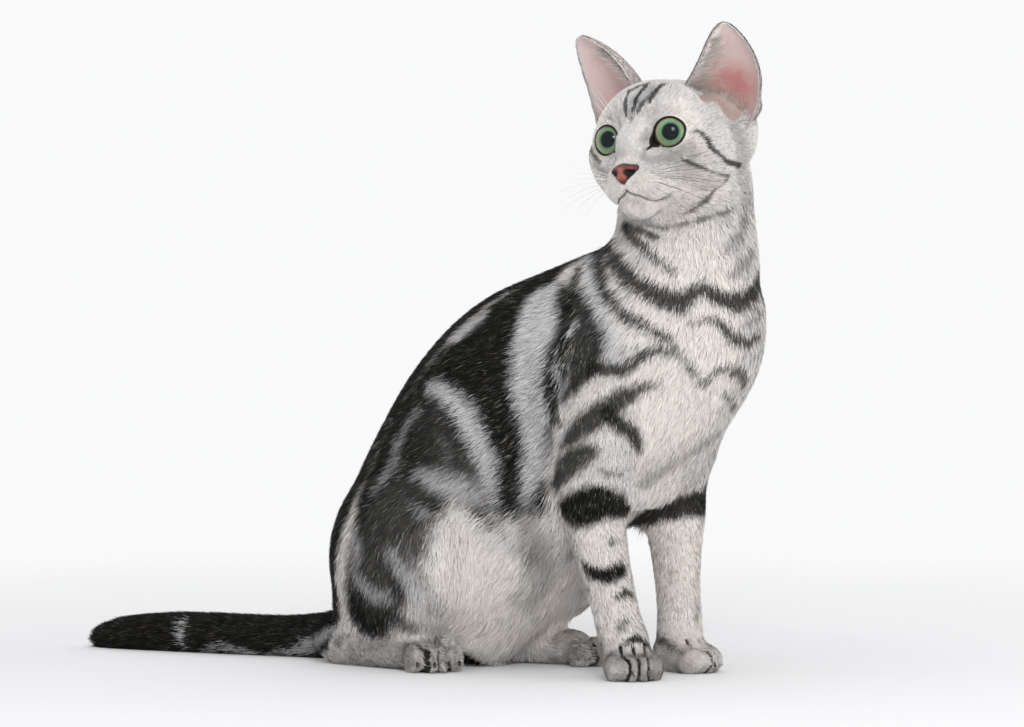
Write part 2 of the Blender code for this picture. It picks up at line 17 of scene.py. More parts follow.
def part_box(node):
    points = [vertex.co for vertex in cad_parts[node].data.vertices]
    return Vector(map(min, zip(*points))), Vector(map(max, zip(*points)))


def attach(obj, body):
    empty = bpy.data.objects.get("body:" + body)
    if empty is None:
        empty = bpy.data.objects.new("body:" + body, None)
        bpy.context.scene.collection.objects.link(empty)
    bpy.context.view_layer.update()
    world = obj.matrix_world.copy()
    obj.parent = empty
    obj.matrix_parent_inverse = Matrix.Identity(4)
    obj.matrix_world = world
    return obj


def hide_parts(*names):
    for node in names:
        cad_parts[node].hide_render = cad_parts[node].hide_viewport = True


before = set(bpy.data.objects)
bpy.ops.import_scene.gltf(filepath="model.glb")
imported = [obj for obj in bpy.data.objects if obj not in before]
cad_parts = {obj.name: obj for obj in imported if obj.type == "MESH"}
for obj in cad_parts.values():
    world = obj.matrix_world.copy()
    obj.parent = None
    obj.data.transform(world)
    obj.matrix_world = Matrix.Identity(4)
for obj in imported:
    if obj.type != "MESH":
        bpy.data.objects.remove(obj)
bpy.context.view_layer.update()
scene = bpy.context.scene
print("nodes", sorted(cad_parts))

# %% [markdown]
# ## Sizes
# All shapes are worked out in one table unit, a 440th of 415 mm, with the head's own frame as
# left, forward and up of its middle. The row frame has its origin under the body, so
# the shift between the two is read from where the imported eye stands.

# %% Units and the head's frame
HEIGHT = 0.415
UNIT = HEIGHT / 440
HEAD_CENTRE = np.array([13.0, -13.0, 355.0])
HEAD_TURN, HEAD_TILT = -87, -4.5
EYE_PLACE = np.array([22.6, 28.7, 5.9])
EYE_RADIUS = 11.5
MIRROR = np.array([-1.0, 1.0, 1.0])


def spin(axis, degrees):
    """The matrix that turns points about one axis by an angle."""
    c, s = math.cos(math.radians(degrees)), math.sin(math.radians(degrees))
    i, j = [(1, 2), (2, 0), (0, 1)]["xyz".index(axis)]
    out = np.eye(3)
    out[i, i], out[i, j], out[j, i], out[j, j] = c, -s, s, c
    return out


HEAD_AXES = spin("z", HEAD_TURN) @ spin("y", HEAD_TILT) @ np.diag([1.0, -1.0, 1.0])


def from_head(points):
    return points @ HEAD_AXES.T + HEAD_CENTRE


def to_head(points):
    return (points - HEAD_CENTRE) @ HEAD_AXES


eye_low, eye_high = (np.array(corner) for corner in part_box("eye_left"))
SHIFT = from_head(EYE_PLACE[None])[0] * UNIT - (eye_low + eye_high) / 2
SHIFT[2] = 0


def to_row(points):
    return np.asarray(points) * UNIT - SHIFT


print("shift to the row frame, m", SHIFT.round(5))

# %% [markdown]
# ## Numbers that fade, drift and follow
# A few helpers come back all through the lesson: a soft step, a smooth drift that stands for the
# unevenness of grown things, unit vectors, and a curve through given stations.

# %% Small helpers


def fade(low, high, value):
    """0 below low, 1 above high, and a smooth S-curve between them."""
    t = np.clip((value - low) / (high - low), 0, 1)
    return t * t * (3 - 2 * t)


def unit(vectors):
    return vectors / np.maximum(np.linalg.norm(vectors, axis=-1, keepdims=True), 1e-9)


def drift(points, size, seed=0):
    """Smooth unevenness about as large as size, mostly between -1 and 1: the sum of seven sine
    waves in random directions, each bent by the one before."""
    rng = np.random.default_rng(seed)
    total, bend = np.zeros(len(points)), 0.0
    for way in rng.normal(size=(7, 3)):
        bend = np.sin(points @ way * (2.2 / size) + rng.uniform(0, 6) + 0.8 * bend)
        total += bend
    return total / 3.2


def smooth_stations(stations, steps=4):
    """More stations on a Catmull-Rom curve through the given rows."""
    rows = np.array(stations, float)
    ends = np.vstack([2 * rows[0] - rows[1], rows, 2 * rows[-1] - rows[-2]])
    a, b, c, d = ends[:-3], ends[1:-2], ends[2:-1], ends[3:]
    t = (np.arange(steps) / steps)[None, :, None]
    a, b, c, d = (x[:, None, :] for x in (a, b, c, d))
    curve = 2 * b + (c - a) * t + (2 * a - 5 * b + 4 * c - d) * t**2
    curve = (curve + (3 * b - a - 3 * c + d) * t**3) / 2
    return np.vstack([curve.reshape(-1, rows.shape[1]), rows[-1:]])


def turned_out(obj):
    """Turns the faces of a closed mesh outwards."""
    shape = bmesh.new()
    shape.from_mesh(obj.data)
    bmesh.ops.recalc_face_normals(shape, faces=shape.faces)
    shape.to_mesh(obj.data)
    shape.free()
    return obj


def mesh_object(name, points, faces, closed=True, smooth=True):
    """An object at the origin from points in table units and lists of their numbers."""
    mesh = bpy.data.meshes.new(name)
    mesh.from_pydata(to_row(points), [], faces)
    obj = bpy.data.objects.new(name, mesh)
    scene.collection.objects.link(obj)
    if closed:
        turned_out(obj)
    if smooth:
        mesh.shade_smooth()
    return obj


def set_values(obj, name, values):
    """Stores one number for each vertex, which a material reads by the name."""
    layer = obj.data.attributes.new(name, "FLOAT", "POINT")
    layer.data.foreach_set("value", np.asarray(values, np.float32).ravel())


def closest_row(points, rows):
    """The number of the row whose place is nearest each point."""
    best, index = np.full(len(points), 1e9), np.zeros(len(points), int)
    for i, row in enumerate(rows):
        gap = np.linalg.norm(points - row[:3], axis=1)
        index, best = np.where(gap < best, i, index), np.minimum(gap, best)
    return index


def sheet_faces(rows, columns, wrap=False):
    """Quads between neighbours on a grid of rows and columns, closed round if it wraps."""
    i = np.arange(rows - 1)[:, None]
    j = np.arange(columns if wrap else columns - 1)[None, :]
    k = (j + 1) % columns
    quads = [i * columns + j, i * columns + k, (i + 1) * columns + k, (i + 1) * columns + j]
    return np.stack(np.broadcast_arrays(*quads), -1).reshape(-1, 4).tolist()


def shell_faces(rows, columns):
    """The faces of a closed shell: a sheet, the same sheet again inside it, and strips that join
    their rims."""
    count = rows * columns
    faces = sheet_faces(rows, columns)
    faces += [[v + count for v in reversed(face)] for face in faces]
    border = [i * columns for i in range(rows)]
    border += [(rows - 1) * columns + j for j in range(1, columns)]
    border += [i * columns + columns - 1 for i in range(rows - 2, -1, -1)]
    border += list(range(columns - 2, 0, -1))
    ends = border[1:] + border[:1]
    return faces + [[a, b, count + b, count + a] for a, b in zip(border, ends)]


def capped_tube(grid):
    """The faces of a closed tube from rings of points, and its points with both end middles."""
    rows, columns = grid.shape[:2]
    faces = sheet_faces(rows, columns, wrap=True)
    points = np.vstack([grid.reshape(-1, 3), grid[0].mean(0), grid[-1].mean(0)])
    first, end = rows * columns, (rows - 1) * columns
    for j in range(columns):
        k = (j + 1) % columns
        faces += [[first, k, j], [first + 1, end + j, end + k]]
    return points, faces


print("helpers ready")

# %% [markdown]
# ## The body as lofted tubes
# Under the fur a cat is a row of soft volumes: trunk, brisket, belly, legs and tail. Each is a
# path of egg-shaped sections, half an ellipse to the back and half to the front, which is quicker
# to steer than pushing vertices about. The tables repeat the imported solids' sizes.

# %% Sections of the body
# A section: x, y and z of its middle, half width, reach to the back, reach to the front, turn
TRUNK = [
    (-4, 194, -6, 46, 40, 30, 0),
    (-4, 186, 40, 62, 60, 50, 0),
    (-3, 172, 78, 68, 68, 58, 0),
    (-1, 152, 118, 69, 70, 62, 0),
    (3, 120, 156, 68, 81, 64, 0),
    (9, 84, 190, 66, 84, 66, -3),
    (16, 46, 220, 62, 69, 70, -8),
    (26, 10, 248, 60, 44, 76, -14),
    (33, -9, 276, 54, 34, 70, -20),
    (36, -14, 304, 49, 35, 54, -34),
    (37, -15, 334, 46, 40, 42, -50),
    (35, -14, 362, 40, 36, 34, -60),
]
BRISKET = [
    (32, -3, 276, 36, 40, 44, -16),
    (31, -12, 250, 52, 48, 62, -15),
    (28, -16, 222, 56, 50, 59, -14),
    (22, -6, 184, 50, 50, 46, -12),
    (18, 8, 150, 42, 46, 38, -10),
    (16, 22, 122, 30, 38, 28, -8),
]
BELLY = [
    (18, 18, 160, 48, 50, 42, -8),
    (12, 56, 132, 54, 56, 46, -6),
    (8, 90, 104, 58, 60, 50, 0),
    (6, 116, 72, 58, 58, 50, 0),
    (4, 134, 40, 50, 44, 42, 0),
    (-6, 146, 12, 36, 34, 30, 0),
]
FORELEG_RIGHT = [
    (-14, 34, 240, 12, 20, 20, -10),
    (-22, 18, 212, 20, 32, 28, -10),
    (-27, 12, 180, 25, 38, 32, -10),
    (-26, 14, 155, 26, 36, 30, -10),
    (-21, 21, 130, 26, 28, 25, -10),
    (-18, 22, 104, 22, 22, 20, -10),
    (-18, 14, 74, 18, 18.5, 17, -10),
    (-19, 5, 44, 16, 16.5, 16.5, -10),
    (-19, -1, 24, 17, 16, 18, -10),
    (-19, -6, 8, 15, 14, 16, -10),
]
FORELEG_LEFT = [
    (58, 24, 240, 12, 20, 20, -10),
    (66, 8, 212, 20, 32, 28, -10),
    (68, 2, 180, 25, 38, 32, -10),
    (63, 3, 155, 23, 36, 25, -10),
    (58, 6, 130, 21, 28, 21, -10),
    (54, 5, 104, 22, 22, 20, -10),
    (51, 2, 74, 17, 18, 17, -10),
    (49, -1, 44, 15.5, 16, 16, -10),
    (48, -2, 24, 16, 16, 17, -10),
    (47, -4, 8, 15, 14, 16, -10),
]
HAUNCH_SIZES = [(34, 40, 40), (38, 58, 56), (34, 64, 62), (28, 46, 48), (18, 28, 30)]
HAUNCH_RIGHT = [(-22, 206, 62), (-40, 186, 76), (-50, 154, 80), (-54, 122, 78), (-54, 106, 76)]
HAUNCH_LEFT = [(22, 190, 62), (40, 158, 76), (50, 118, 80), (54, 84, 78), (54, 66, 76)]
HAUNCH_RIGHT, HAUNCH_LEFT = (
    [(*place, *size, 0) for place, size in zip(places, HAUNCH_SIZES)]
    for places in (HAUNCH_RIGHT, HAUNCH_LEFT)
)
TAIL_PATH = [
    (-4, 218, 26, 20, 20),
    (-10, 248, 17.5, 18, 18),
    (-18, 290, 14.5, 15.5, 15.5),
    (-28, 340, 14.5, 15.5, 15.5),
    (-36, 390, 14, 15, 15),
    (-42, 430, 11.5, 12.5, 12.5),
    (-45, 453, 8, 8, 8),
]
TAIL = [(*row, row[4], 0) for row in TAIL_PATH]
# Where the middle of each paw's toes stands, and the paw's heading about +Z
PAWS = {
    "forepaw_right": ((-23, -9, 0), -40),
    "forepaw_left": ((46, -9, 0), 6),
    "hindpaw_right": ((-54, 134, 0), -34),
    "hindpaw_left": ((46, 78, 0), 6),
}
# The soles' own headings: the right foot's toes are turned out from its sole
SOLE_TURNS = {"right": -6, "left": 6}
HIND_SOLE = [
    (0, 100, 26, 12, 14, 14, 0),
    (0, 92, 17, 14, 17, 17, 0),
    (0, 60, 13, 15, 15, 13, 0),
    (0, 25, 12, 16, 14, 12, 0),
    (0, 0, 11, 16, 13, 11, 0),
]
FORE_TOES = [(-14, -9), (-5, -16), (5, -16), (14, -9)]
HIND_TOES = [(-15, -6), (-5.2, -13), (5.2, -13), (15, -6)]
FLOOR_SINK = 1.2
TUBE_SIDES = 28
FORWARD, DOWN = (0, -1, 0), (0, 0, -1)


def loft(stations, front):
    """Rings of an egg-shaped section carried along a path. Each ring is half_width*cos(a) to the
    side plus reach*sin(a) ahead, with the front reach where sin(a) > 0 and the back reach else."""
    rows = smooth_stations(stations)
    middle, wide, back, fore = rows[:, :3], rows[:, 3], rows[:, 4], rows[:, 5]
    along = unit(np.gradient(middle, axis=0))
    turn = np.radians(rows[:, 6])
    x, y, z = front
    ahead = np.stack([x * np.cos(turn) - y * np.sin(turn), x * np.sin(turn) + y * np.cos(turn),
                      np.full(len(rows), z)], -1)
    side = unit(np.cross(ahead, along))
    ahead = np.cross(along, side)
    a = np.linspace(0, 2 * math.pi, TUBE_SIDES, endpoint=False)
    reach = np.where(np.sin(a) > 0, fore[:, None], back[:, None]) * np.sin(a)
    across = np.cos(a)[None, :, None] * (side * wide[:, None])[:, None]
    return middle[:, None] + across + reach[:, :, None] * ahead[:, None]


def lump(centre, radii, place=(0, 0, 0), heading=0, sides=24):
    """An ellipsoid as rings: sin(p)*cos(r), sin(p)*sin(r) and cos(p), stretched by its radii."""
    p = np.linspace(0.02, math.pi - 0.02, sides // 2 + 1)[:, None]
    r = np.linspace(0, 2 * math.pi, sides, endpoint=False)[None, :]
    ball = np.stack([np.sin(p) * np.cos(r), np.sin(p) * np.sin(r), np.cos(p) + 0 * r], -1)
    return (ball * radii + centre) @ spin("z", heading).T + place


def hind_sole(side):
    rows = np.array(HIND_SOLE, float)
    middle = rows[:, :3] @ spin("z", SOLE_TURNS[side]).T + PAWS[f"hindpaw_{side}"][0]
    return np.hstack([middle, rows[:, 3:]])


def paw_forms(side):
    """The toes of one fore and one hind paw, the ball of the forepaw and the hind sole."""
    fore, hind = PAWS[f"forepaw_{side}"], PAWS[f"hindpaw_{side}"]
    forms = [lump((0, 6, 13), (18.5, 19, 15), *fore)]
    forms += [lump((*row, 10 - FLOOR_SINK), (7.4, 10.5, 10), *fore) for row in FORE_TOES]
    forms += [lump((*row, 11 - FLOOR_SINK), (7.2, 11, 11), *hind) for row in HIND_TOES]
    return forms + [loft(hind_sole(side), DOWN)]


torso_forms = [loft(rows, FORWARD) for rows in (TRUNK, BRISKET, BELLY, FORELEG_RIGHT, FORELEG_LEFT)]
torso_forms += [loft(rows, DOWN) for rows in (HAUNCH_RIGHT, HAUNCH_LEFT)]
limb_forms = [loft(TAIL, DOWN)] + paw_forms("right") + paw_forms("left")
limb_forms += [loft(rows[3:], FORWARD) for rows in (FORELEG_RIGHT, FORELEG_LEFT)]
print("forms of the torso", len(torso_forms), "and of the limbs", len(limb_forms))

# %% [markdown]
# ## The head as melted lumps
# A head has too many soft planes for one tube. Here each mass, such as the cheek or the muzzle,
# is an ellipsoid, and all of them melt together: the smaller a lump's distance, the more it
# counts. The surface is where the melted distance is nought, found along rays by halving.

# %% The head
# A lump: left, forward and up of the head's middle, then three radii. Off the middle it is paired
HEAD_LUMPS = {
    "cranium": ((0, -14, 12), (44, 42, 35)),
    "forehead": ((0, 12, 20), (36, 27, 25)),
    "face": ((0, 14, -6), (41, 28, 27)),
    "cheekbone": ((33, 8, -2), (18, 21, 18)),
    "cheek": ((30, 1, -14), (19, 25, 19)),
    "ruff": ((38, -24, 10), (18, 22, 29)),
    "brow": ((22, 24, 15), (13, 12, 11.5)),
    "bridge": ((0, 34, -1), (15, 21, 15)),
    "nose": ((0, 49, -20), (10, 10, 8.5)),
    "muzzle": ((0, 33, -25), (20, 19, 13)),
    "whisker_pad": ((10, 40, -27), (12.5, 14, 11)),
    "chin": ((0, 38, -40), (12, 11, 10)),
    "jaw": ((0, 12, -31), (27, 25, 14)),
}
MELT = 3.2


def head_distance(points):
    """Distance from the head's surface in its own frame, below 0 inside:
    -MELT * log(sum(exp(-distance to each lump / MELT)))."""
    total = np.zeros(len(points))
    for centre, radii in HEAD_LUMPS.values():
        for sign in (1, -1) if centre[0] else (1,):
            offset = points - np.array([centre[0] * sign, centre[1], centre[2]])
            scaled = np.linalg.norm(offset / radii, axis=1)
            steep = np.linalg.norm(offset / np.square(radii), axis=1)
            total += np.exp(-scaled * (scaled - 1) / np.maximum(steep, 1e-9) / MELT)
    return -MELT * np.log(np.maximum(total, 1e-30))


def head_reach(starts, ways, low=5.0, high=85.0):
    """How far the head's surface is from each start, along each way, by halving 22 times."""
    low, high = np.full(len(ways), low), np.full(len(ways), high)
    for _ in range(22):
        middle = (low + high) / 2
        inside = head_distance(starts + ways * middle[:, None]) < 0
        low, high = np.where(inside, middle, low), np.where(inside, high, middle)
    return low


def head_slope(points, step=0.4):
    """The way out of the head's surface, from differences of the distance along each axis."""
    slopes = []
    for axis in np.eye(3) * step:
        slopes.append(head_distance(points + axis) - head_distance(points - axis))
    return unit(np.stack(slopes, -1))


polar = np.linspace(0.03, math.pi - 0.03, 60)[:, None]
round_ = np.linspace(0, 2 * math.pi, 84, endpoint=False)[None, :]
ways = np.stack([np.sin(polar) * np.cos(round_), np.cos(polar) + 0 * round_,
                 np.sin(polar) * np.sin(round_)], -1)
reach = head_reach(np.zeros((ways.size // 3, 3)), ways.reshape(-1, 3))
head_form = from_head(ways.reshape(-1, 3) * reach[:, None]).reshape(ways.shape)
limb_forms.append(head_form)
print("head reach, units", reach.min().round(1), "to", reach.max().round(1))

# %% [markdown]
# ## One skin over everything
# A voxel remesh fuses overlapping closed forms into one mesh with even quads, and a smooth
# modifier melts the creases. The torso is fused coarsely first, so its masses melt most. The
# result is read back as plain arrays, because all that follows is array work.

# %% Fusing the forms
TORSO_VOXEL, TORSO_SMOOTHING = 4.0, 26
SKIN_VOXEL, SKIN_SMOOTHING = (2.9), 5


def read_back(obj):
    """The points of an object's evaluated mesh in table units, and its faces."""
    graph = bpy.context.evaluated_depsgraph_get()
    mesh = obj.evaluated_get(graph).to_mesh()
    points = np.empty(len(mesh.vertices) * 3, np.float32)
    mesh.vertices.foreach_get("co", points)
    corners = np.empty(len(mesh.loops), np.int32)
    mesh.loops.foreach_get("vertex_index", corners)
    starts = np.empty(len(mesh.polygons), np.int32)
    mesh.polygons.foreach_get("loop_start", starts)
    faces = [chunk.tolist() for chunk in np.split(corners, starts[1:])]
    return (points.reshape(-1, 3).astype(float) + SHIFT) / UNIT, faces


def fused(name, forms, voxel, smoothing):
    """Every form under one skin. A form is a grid of rings, or points and faces."""
    points, faces = [], []
    for form in forms:
        own, own_faces = form if isinstance(form, tuple) else capped_tube(form)
        start = sum(len(p) for p in points)
        points.append(own)
        faces += [[v + start for v in face] for face in own_faces]
    obj = mesh_object(name, np.vstack(points), faces)
    remesh = obj.modifiers.new("skin", "REMESH")
    remesh.mode, remesh.voxel_size = "VOXEL", voxel * UNIT
    soften = obj.modifiers.new("soften", "SMOOTH")
    soften.factor, soften.iterations = 0.5, smoothing
    bpy.context.view_layer.update()
    result = read_back(obj)
    bpy.data.objects.remove(obj)
    return result


torso = fused("torso", torso_forms, TORSO_VOXEL, TORSO_SMOOTHING)
coat_points, coat_faces = fused("body", [torso] + limb_forms, SKIN_VOXEL, SKIN_SMOOTHING)
coat_points[:, 2] = np.maximum(coat_points[:, 2], 0)
print("body", len(coat_points), "points", len(coat_faces), "faces")

# %% [markdown]
# ## Finer faces for the face and paws
# The even voxels are too coarse for lips, lids and toes. Only the faces there are cut finer, so
# the mesh stays light, and the new points of the head are drawn back onto its exact surface.

# %% Cutting the face and the paws finer
PAW_TOP = 26
FACE_START, FACE_CORE = 6.0, 27.0
EAR_SEAT = np.array([38.0, 0.0, 26.0])


def finer(points, faces, chosen):
    """Cuts every face whose points are all chosen into four."""
    shape = bmesh.new()
    verts = [shape.verts.new(p) for p in points]
    shape.verts.ensure_lookup_table()
    for face in faces:
        shape.faces.new([verts[v] for v in face])
    shape.verts.index_update()
    inner = [f for f in shape.faces if all(chosen[v.index] for v in f.verts)]
    edges = list({e for f in inner for e in f.edges})
    bmesh.ops.subdivide_edges(shape, edges=edges, cuts=1, use_grid_fill=True)
    shape.verts.index_update()
    points = np.array([v.co[:] for v in shape.verts])
    faces = [[v.index for v in f.verts] for f in shape.faces]
    shape.free()
    return points, faces


def onto_head(points):
    """Draws points that are near the head's surface onto it, the closest ones all the way."""
    head = to_head(points)
    near = np.flatnonzero(np.linalg.norm(head, axis=1) < 90)
    own = head[near]
    for _ in range(2):
        gap = head_distance(own)
        hold = (1 - fade(1.2, 3.5, np.abs(gap))) * fade(-42, -20, own[:, 1])
        own = own - head_slope(own) * (gap * hold)[:, None]
    points = points.copy()
    points[near] = from_head(own)
    return points


def face_zone(points, start):
    head = to_head(points)
    return (head[:, 1] > start) & (head[:, 2] > -50) & (np.linalg.norm(head, axis=1) < 75)


def pair_distance(points, place):
    """Distance from each point to the nearer of a place of the head and its mirror twin."""
    head = to_head(points)
    return np.minimum(*(np.linalg.norm(head - place * (sign, 1, 1), axis=1) for sign in (1, -1)))


coat_points = onto_head(coat_points)
paws = (coat_points[:, 2] < PAW_TOP) & (coat_points[:, 1] < 140)
by_ears = pair_distance(coat_points, EAR_SEAT) < 32
chosen = face_zone(coat_points, FACE_START) | paws | by_ears
coat_points, coat_faces = finer(coat_points, coat_faces, chosen)
coat_points = onto_head(coat_points)
chosen = face_zone(coat_points, FACE_CORE) | (pair_distance(coat_points, EYE_PLACE) < 18)
coat_points, coat_faces = finer(coat_points, coat_faces, chosen)
coat_points = onto_head(coat_points)
print("after finer cuts", len(coat_points), "points")

# %% [markdown]
# ## Which part of the body a point belongs to
# Each part has a middle line with a half width. A point belongs to the line it is closest to,
# measured in half widths. The same lines later say how deep the coat is, which way it lies and
# where a marking comes out on the other side of the body.

# %% Middle lines
LINES = {
    "trunk": TRUNK, "brisket": BRISKET, "belly": BELLY, "tail": TAIL,
    "foreleg_right": FORELEG_RIGHT, "foreleg_left": FORELEG_LEFT,
    "haunch_right": HAUNCH_RIGHT, "haunch_left": HAUNCH_LEFT,
    "hindfoot_right": hind_sole("right"), "hindfoot_left": hind_sole("left"),
}
LINES = {name: smooth_stations(rows, 5) for name, rows in LINES.items()}
for side in ("right", "left"):
    LINES[f"haunch_{side}"][:, 3:6] *= 0.8
NAMES = list(LINES) + ["head", "forepaw_right", "forepaw_left"]
# The head ends at a slanting cut behind the jaw
NECK_CUT = np.array([10, -13, 311])
NECK_WAY = unit(np.array([-0.35, 0, 0.94]))


def part_numbers(points):
    """The number in NAMES of each point's part, and every part's distance in half widths."""
    far = []
    for rows in LINES.values():
        scaled = np.full(len(points), 1e9)
        for row in rows:
            size = (row[3] + row[4] + row[5]) / 3
            scaled = np.minimum(scaled, np.linalg.norm(points - row[:3], axis=1) / size)
        far.append(scaled)
    head = to_head(points)
    cut = (points - NECK_CUT) @ NECK_WAY
    far.append(np.where((np.linalg.norm(head, axis=1) < 80) & (cut > -6), 0.2, 9))
    for side, x in (("right", -19), ("left", 47)):
        offset = points - (x, -8, 14)
        inside = (points[:, 2] < 30) & (np.linalg.norm(offset[:, :2], axis=1) < 32)
        far.append(np.where(inside, 0.3, 9))
    far = np.stack(far, -1)
    return far.argmin(1), far


part = part_numbers(coat_points)[0]
print({name: int((part == i).sum()) for i, name in enumerate(NAMES)})

# %% [markdown]
# ## Skin under the coat
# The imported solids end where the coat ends. The skin therefore lies deeper by the coat's own
# depth: half a centimetre on the belly, a millimetre on the nose and paws. The depth is blurred
# over the mesh so that no step shows where two parts meet.

# %% Moving the skin in
DEPTHS = {
    "trunk": 4.6, "brisket": 4.6, "belly": 6.0, "tail": 4.2, "haunch": 5.0, "foreleg": 2.8,
    "hindfoot": 1.8, "head": 2.2, "forepaw": 1.2,
}


def mesh_edges(faces):
    pairs = {(a, b) if a < b else (b, a) for f in faces for a, b in zip(f, f[1:] + f[:1])}
    return np.array(sorted(pairs))


def blurred(values, edges, times, hold=0.5):
    """Values at the points of a mesh, each drawn towards the mean of its neighbours."""
    values = np.array(values, float)
    flat = values.reshape(len(values), -1)
    links = np.bincount(edges.ravel(), minlength=len(values))[:, None]
    for _ in range(times):
        total = np.zeros_like(flat)
        for column in range(flat.shape[1]):
            for a, b in ((0, 1), (1, 0)):
                weights = flat[edges[:, b], column]
                total[:, column] += np.bincount(edges[:, a], weights, len(flat))
        flat = flat * hold + total / np.maximum(links, 1) * (1 - hold)
    return flat.reshape(values.shape)


def point_normals(points, faces):
    """The mean of the face normals round each point, larger faces counting more."""
    normals = np.zeros_like(points)
    for size in (3, 4, 5, 6, 7, 8):
        group = np.array([f for f in faces if len(f) == size])
        if not len(group):
            continue
        corners = points[group]
        area = np.cross(corners[:, 2] - corners[:, 0], corners[:, -1] - corners[:, 1])
        for k in range(size):
            for axis in range(3):
                add = np.bincount(group[:, k], area[:, axis], len(points))
                normals[:, axis] += add
    return unit(normals)


edges = mesh_edges(coat_faces)
coat_normals = point_normals(coat_points, coat_faces)
head_place = to_head(coat_points)
depth = np.array([DEPTHS[name.split("_")[0]] for name in NAMES])[part]
on_head = part == NAMES.index("head")
depth = np.where(on_head, 2.2 - 1.3 * fade(18, 50, head_place[:, 1]), depth)
depth = blurred(depth, edges, 30)
floor_gap = fade(0, 3, coat_points[:, 2] - 0.2)
skin_points = coat_points - coat_normals * (depth * (0.25 + 0.75 * floor_gap))[:, None]
skin_points[:, 2] = np.maximum(skin_points[:, 2], 0.15)
print("coat depth, units", depth.min().round(2), "to", depth.max().round(2))

# %% [markdown]
# ## Where the photograph was taken from
# The camera is level with the cat's chest, about two metres off its right front. Places that are
# easiest to name in the picture, such as a stripe, are given as pixels of its 1024 by 727 frame
# and carried onto the body along the camera's rays, so that they sit on the form on every side.

# %% Rays from the camera
PHOTO_SIZE = (1024, 727)
FOCAL_PIXELS = 3300
CAMERA_ANGLE = 36
CAMERA_ACROSS, CAMERA_AWAY, CAMERA_HEIGHT = 0.07989, 2.09160, 0.19807
cos_view, sin_view = math.cos(math.radians(CAMERA_ANGLE)), math.sin(math.radians(CAMERA_ANGLE))
RIGHT_WAY = np.array([sin_view, -cos_view, 0])
VIEW_WAY = np.array([cos_view, sin_view, 0])
CAMERA_PLACE = -RIGHT_WAY * CAMERA_ACROSS - VIEW_WAY * CAMERA_AWAY
CAMERA_PLACE = (CAMERA_PLACE + (0, 0, CAMERA_HEIGHT)) / UNIT


def pixel_ways(pixels):
    """The direction from the camera through each pixel."""
    x, y = np.asarray(pixels, float)[:, :2].T
    across = (x - PHOTO_SIZE[0] / 2) / FOCAL_PIXELS
    up = (PHOTO_SIZE[1] / 2 - y) / FOCAL_PIXELS
    return unit(VIEW_WAY + across[:, None] * RIGHT_WAY + up[:, None] * np.array([0, 0, 1.0]))


def in_photo(points):
    """The pixel of each point in table units."""
    offset = points - CAMERA_PLACE
    away = offset @ VIEW_WAY
    x = PHOTO_SIZE[0] / 2 + FOCAL_PIXELS * (offset @ RIGHT_WAY) / away
    return np.stack([x, PHOTO_SIZE[1] / 2 - FOCAL_PIXELS * offset[:, 2] / away], -1)


coat_tree = BVHTree.FromPolygons(coat_points.tolist(), coat_faces)
coat_pixels = in_photo(coat_points)
facing = (coat_normals @ VIEW_WAY) < 0.05
PIXEL = CAMERA_AWAY / UNIT / FOCAL_PIXELS


def on_body(pixels):
    """Points of the skin seen at the pixels. A pixel beside the body takes the nearest seen one."""
    found = []
    for pixel, way in zip(pixels, pixel_ways(pixels)):
        hit, normal, face, _ = coat_tree.ray_cast(Vector(CAMERA_PLACE), Vector(way))
        if hit is None:
            far = np.linalg.norm(coat_pixels - pixel[:2], axis=1) + np.where(facing, 0, 1e6)
            found.append(int(far.argmin()))
        else:
            corners = coat_faces[face]
            far = np.linalg.norm(coat_points[corners] - np.array(hit), axis=1)
            found.append(corners[int(far.argmin())])
    return np.array(found)


# %% [markdown]
# ## Eye openings
# The lids lie close over the eyeball and leave a nearly round opening with a long point at the
# inner corner. The skin round each eye is moved onto a sphere just outside the ball, and inside
# the opening it is pressed back, so that the eyeball shows in a real hole.

# %% Eye openings
# The opening leans outwards. Its edge is a radius from that gaze for each way round it, and the
# corners are angles round it in degrees
GAZE = unit(np.array([0.25, 0.965, 0.02]))
LID_REACH = EYE_RADIUS + 0.6
OPEN_ACROSS, OPEN_UP, CORNER_REACH = 10.7, 10.0, 4.2
INNER_CORNER, OUTER_CORNER = 206, 14


def eye_axes(sign):
    """An eye's own axes in the head's frame: outwards, up and along its gaze."""
    gaze = GAZE * (sign, 1, 1)
    outward = unit(np.cross(gaze, (0, 0, 1.0)) * sign)
    return np.stack([outward, np.cross(outward, gaze) * sign, gaze])


def near_way(around, degrees, width):
    """1 where the way round is at the given angle, falling off over a width in radians."""
    gap = (around - math.radians(degrees) + math.pi) % (2 * math.pi) - math.pi
    return np.exp(-np.square(gap / width))


def opening_radius(around):
    """How far the lids open by the way round the gaze, 0 outwards and a quarter turn up:
    OPEN_ACROSS*cos**2 + OPEN_UP*sin**2, with a long point inwards and a slight one outwards."""
    inner = near_way(around, INNER_CORNER, 0.34)
    outer = near_way(around, OUTER_CORNER, 0.40)
    base = OPEN_ACROSS * np.square(np.cos(around)) + OPEN_UP * np.square(np.sin(around))
    return base + CORNER_REACH * inner + 0.7 * outer


def lid_height(radius):
    """Height of the lids along the gaze: the sphere LID_REACH, and a gentle slope beyond 10."""
    round_part = np.sqrt(np.maximum(LID_REACH**2 - np.square(np.minimum(radius, 10)), 0))
    return round_part - 0.55 * np.maximum(radius - 10, 0)


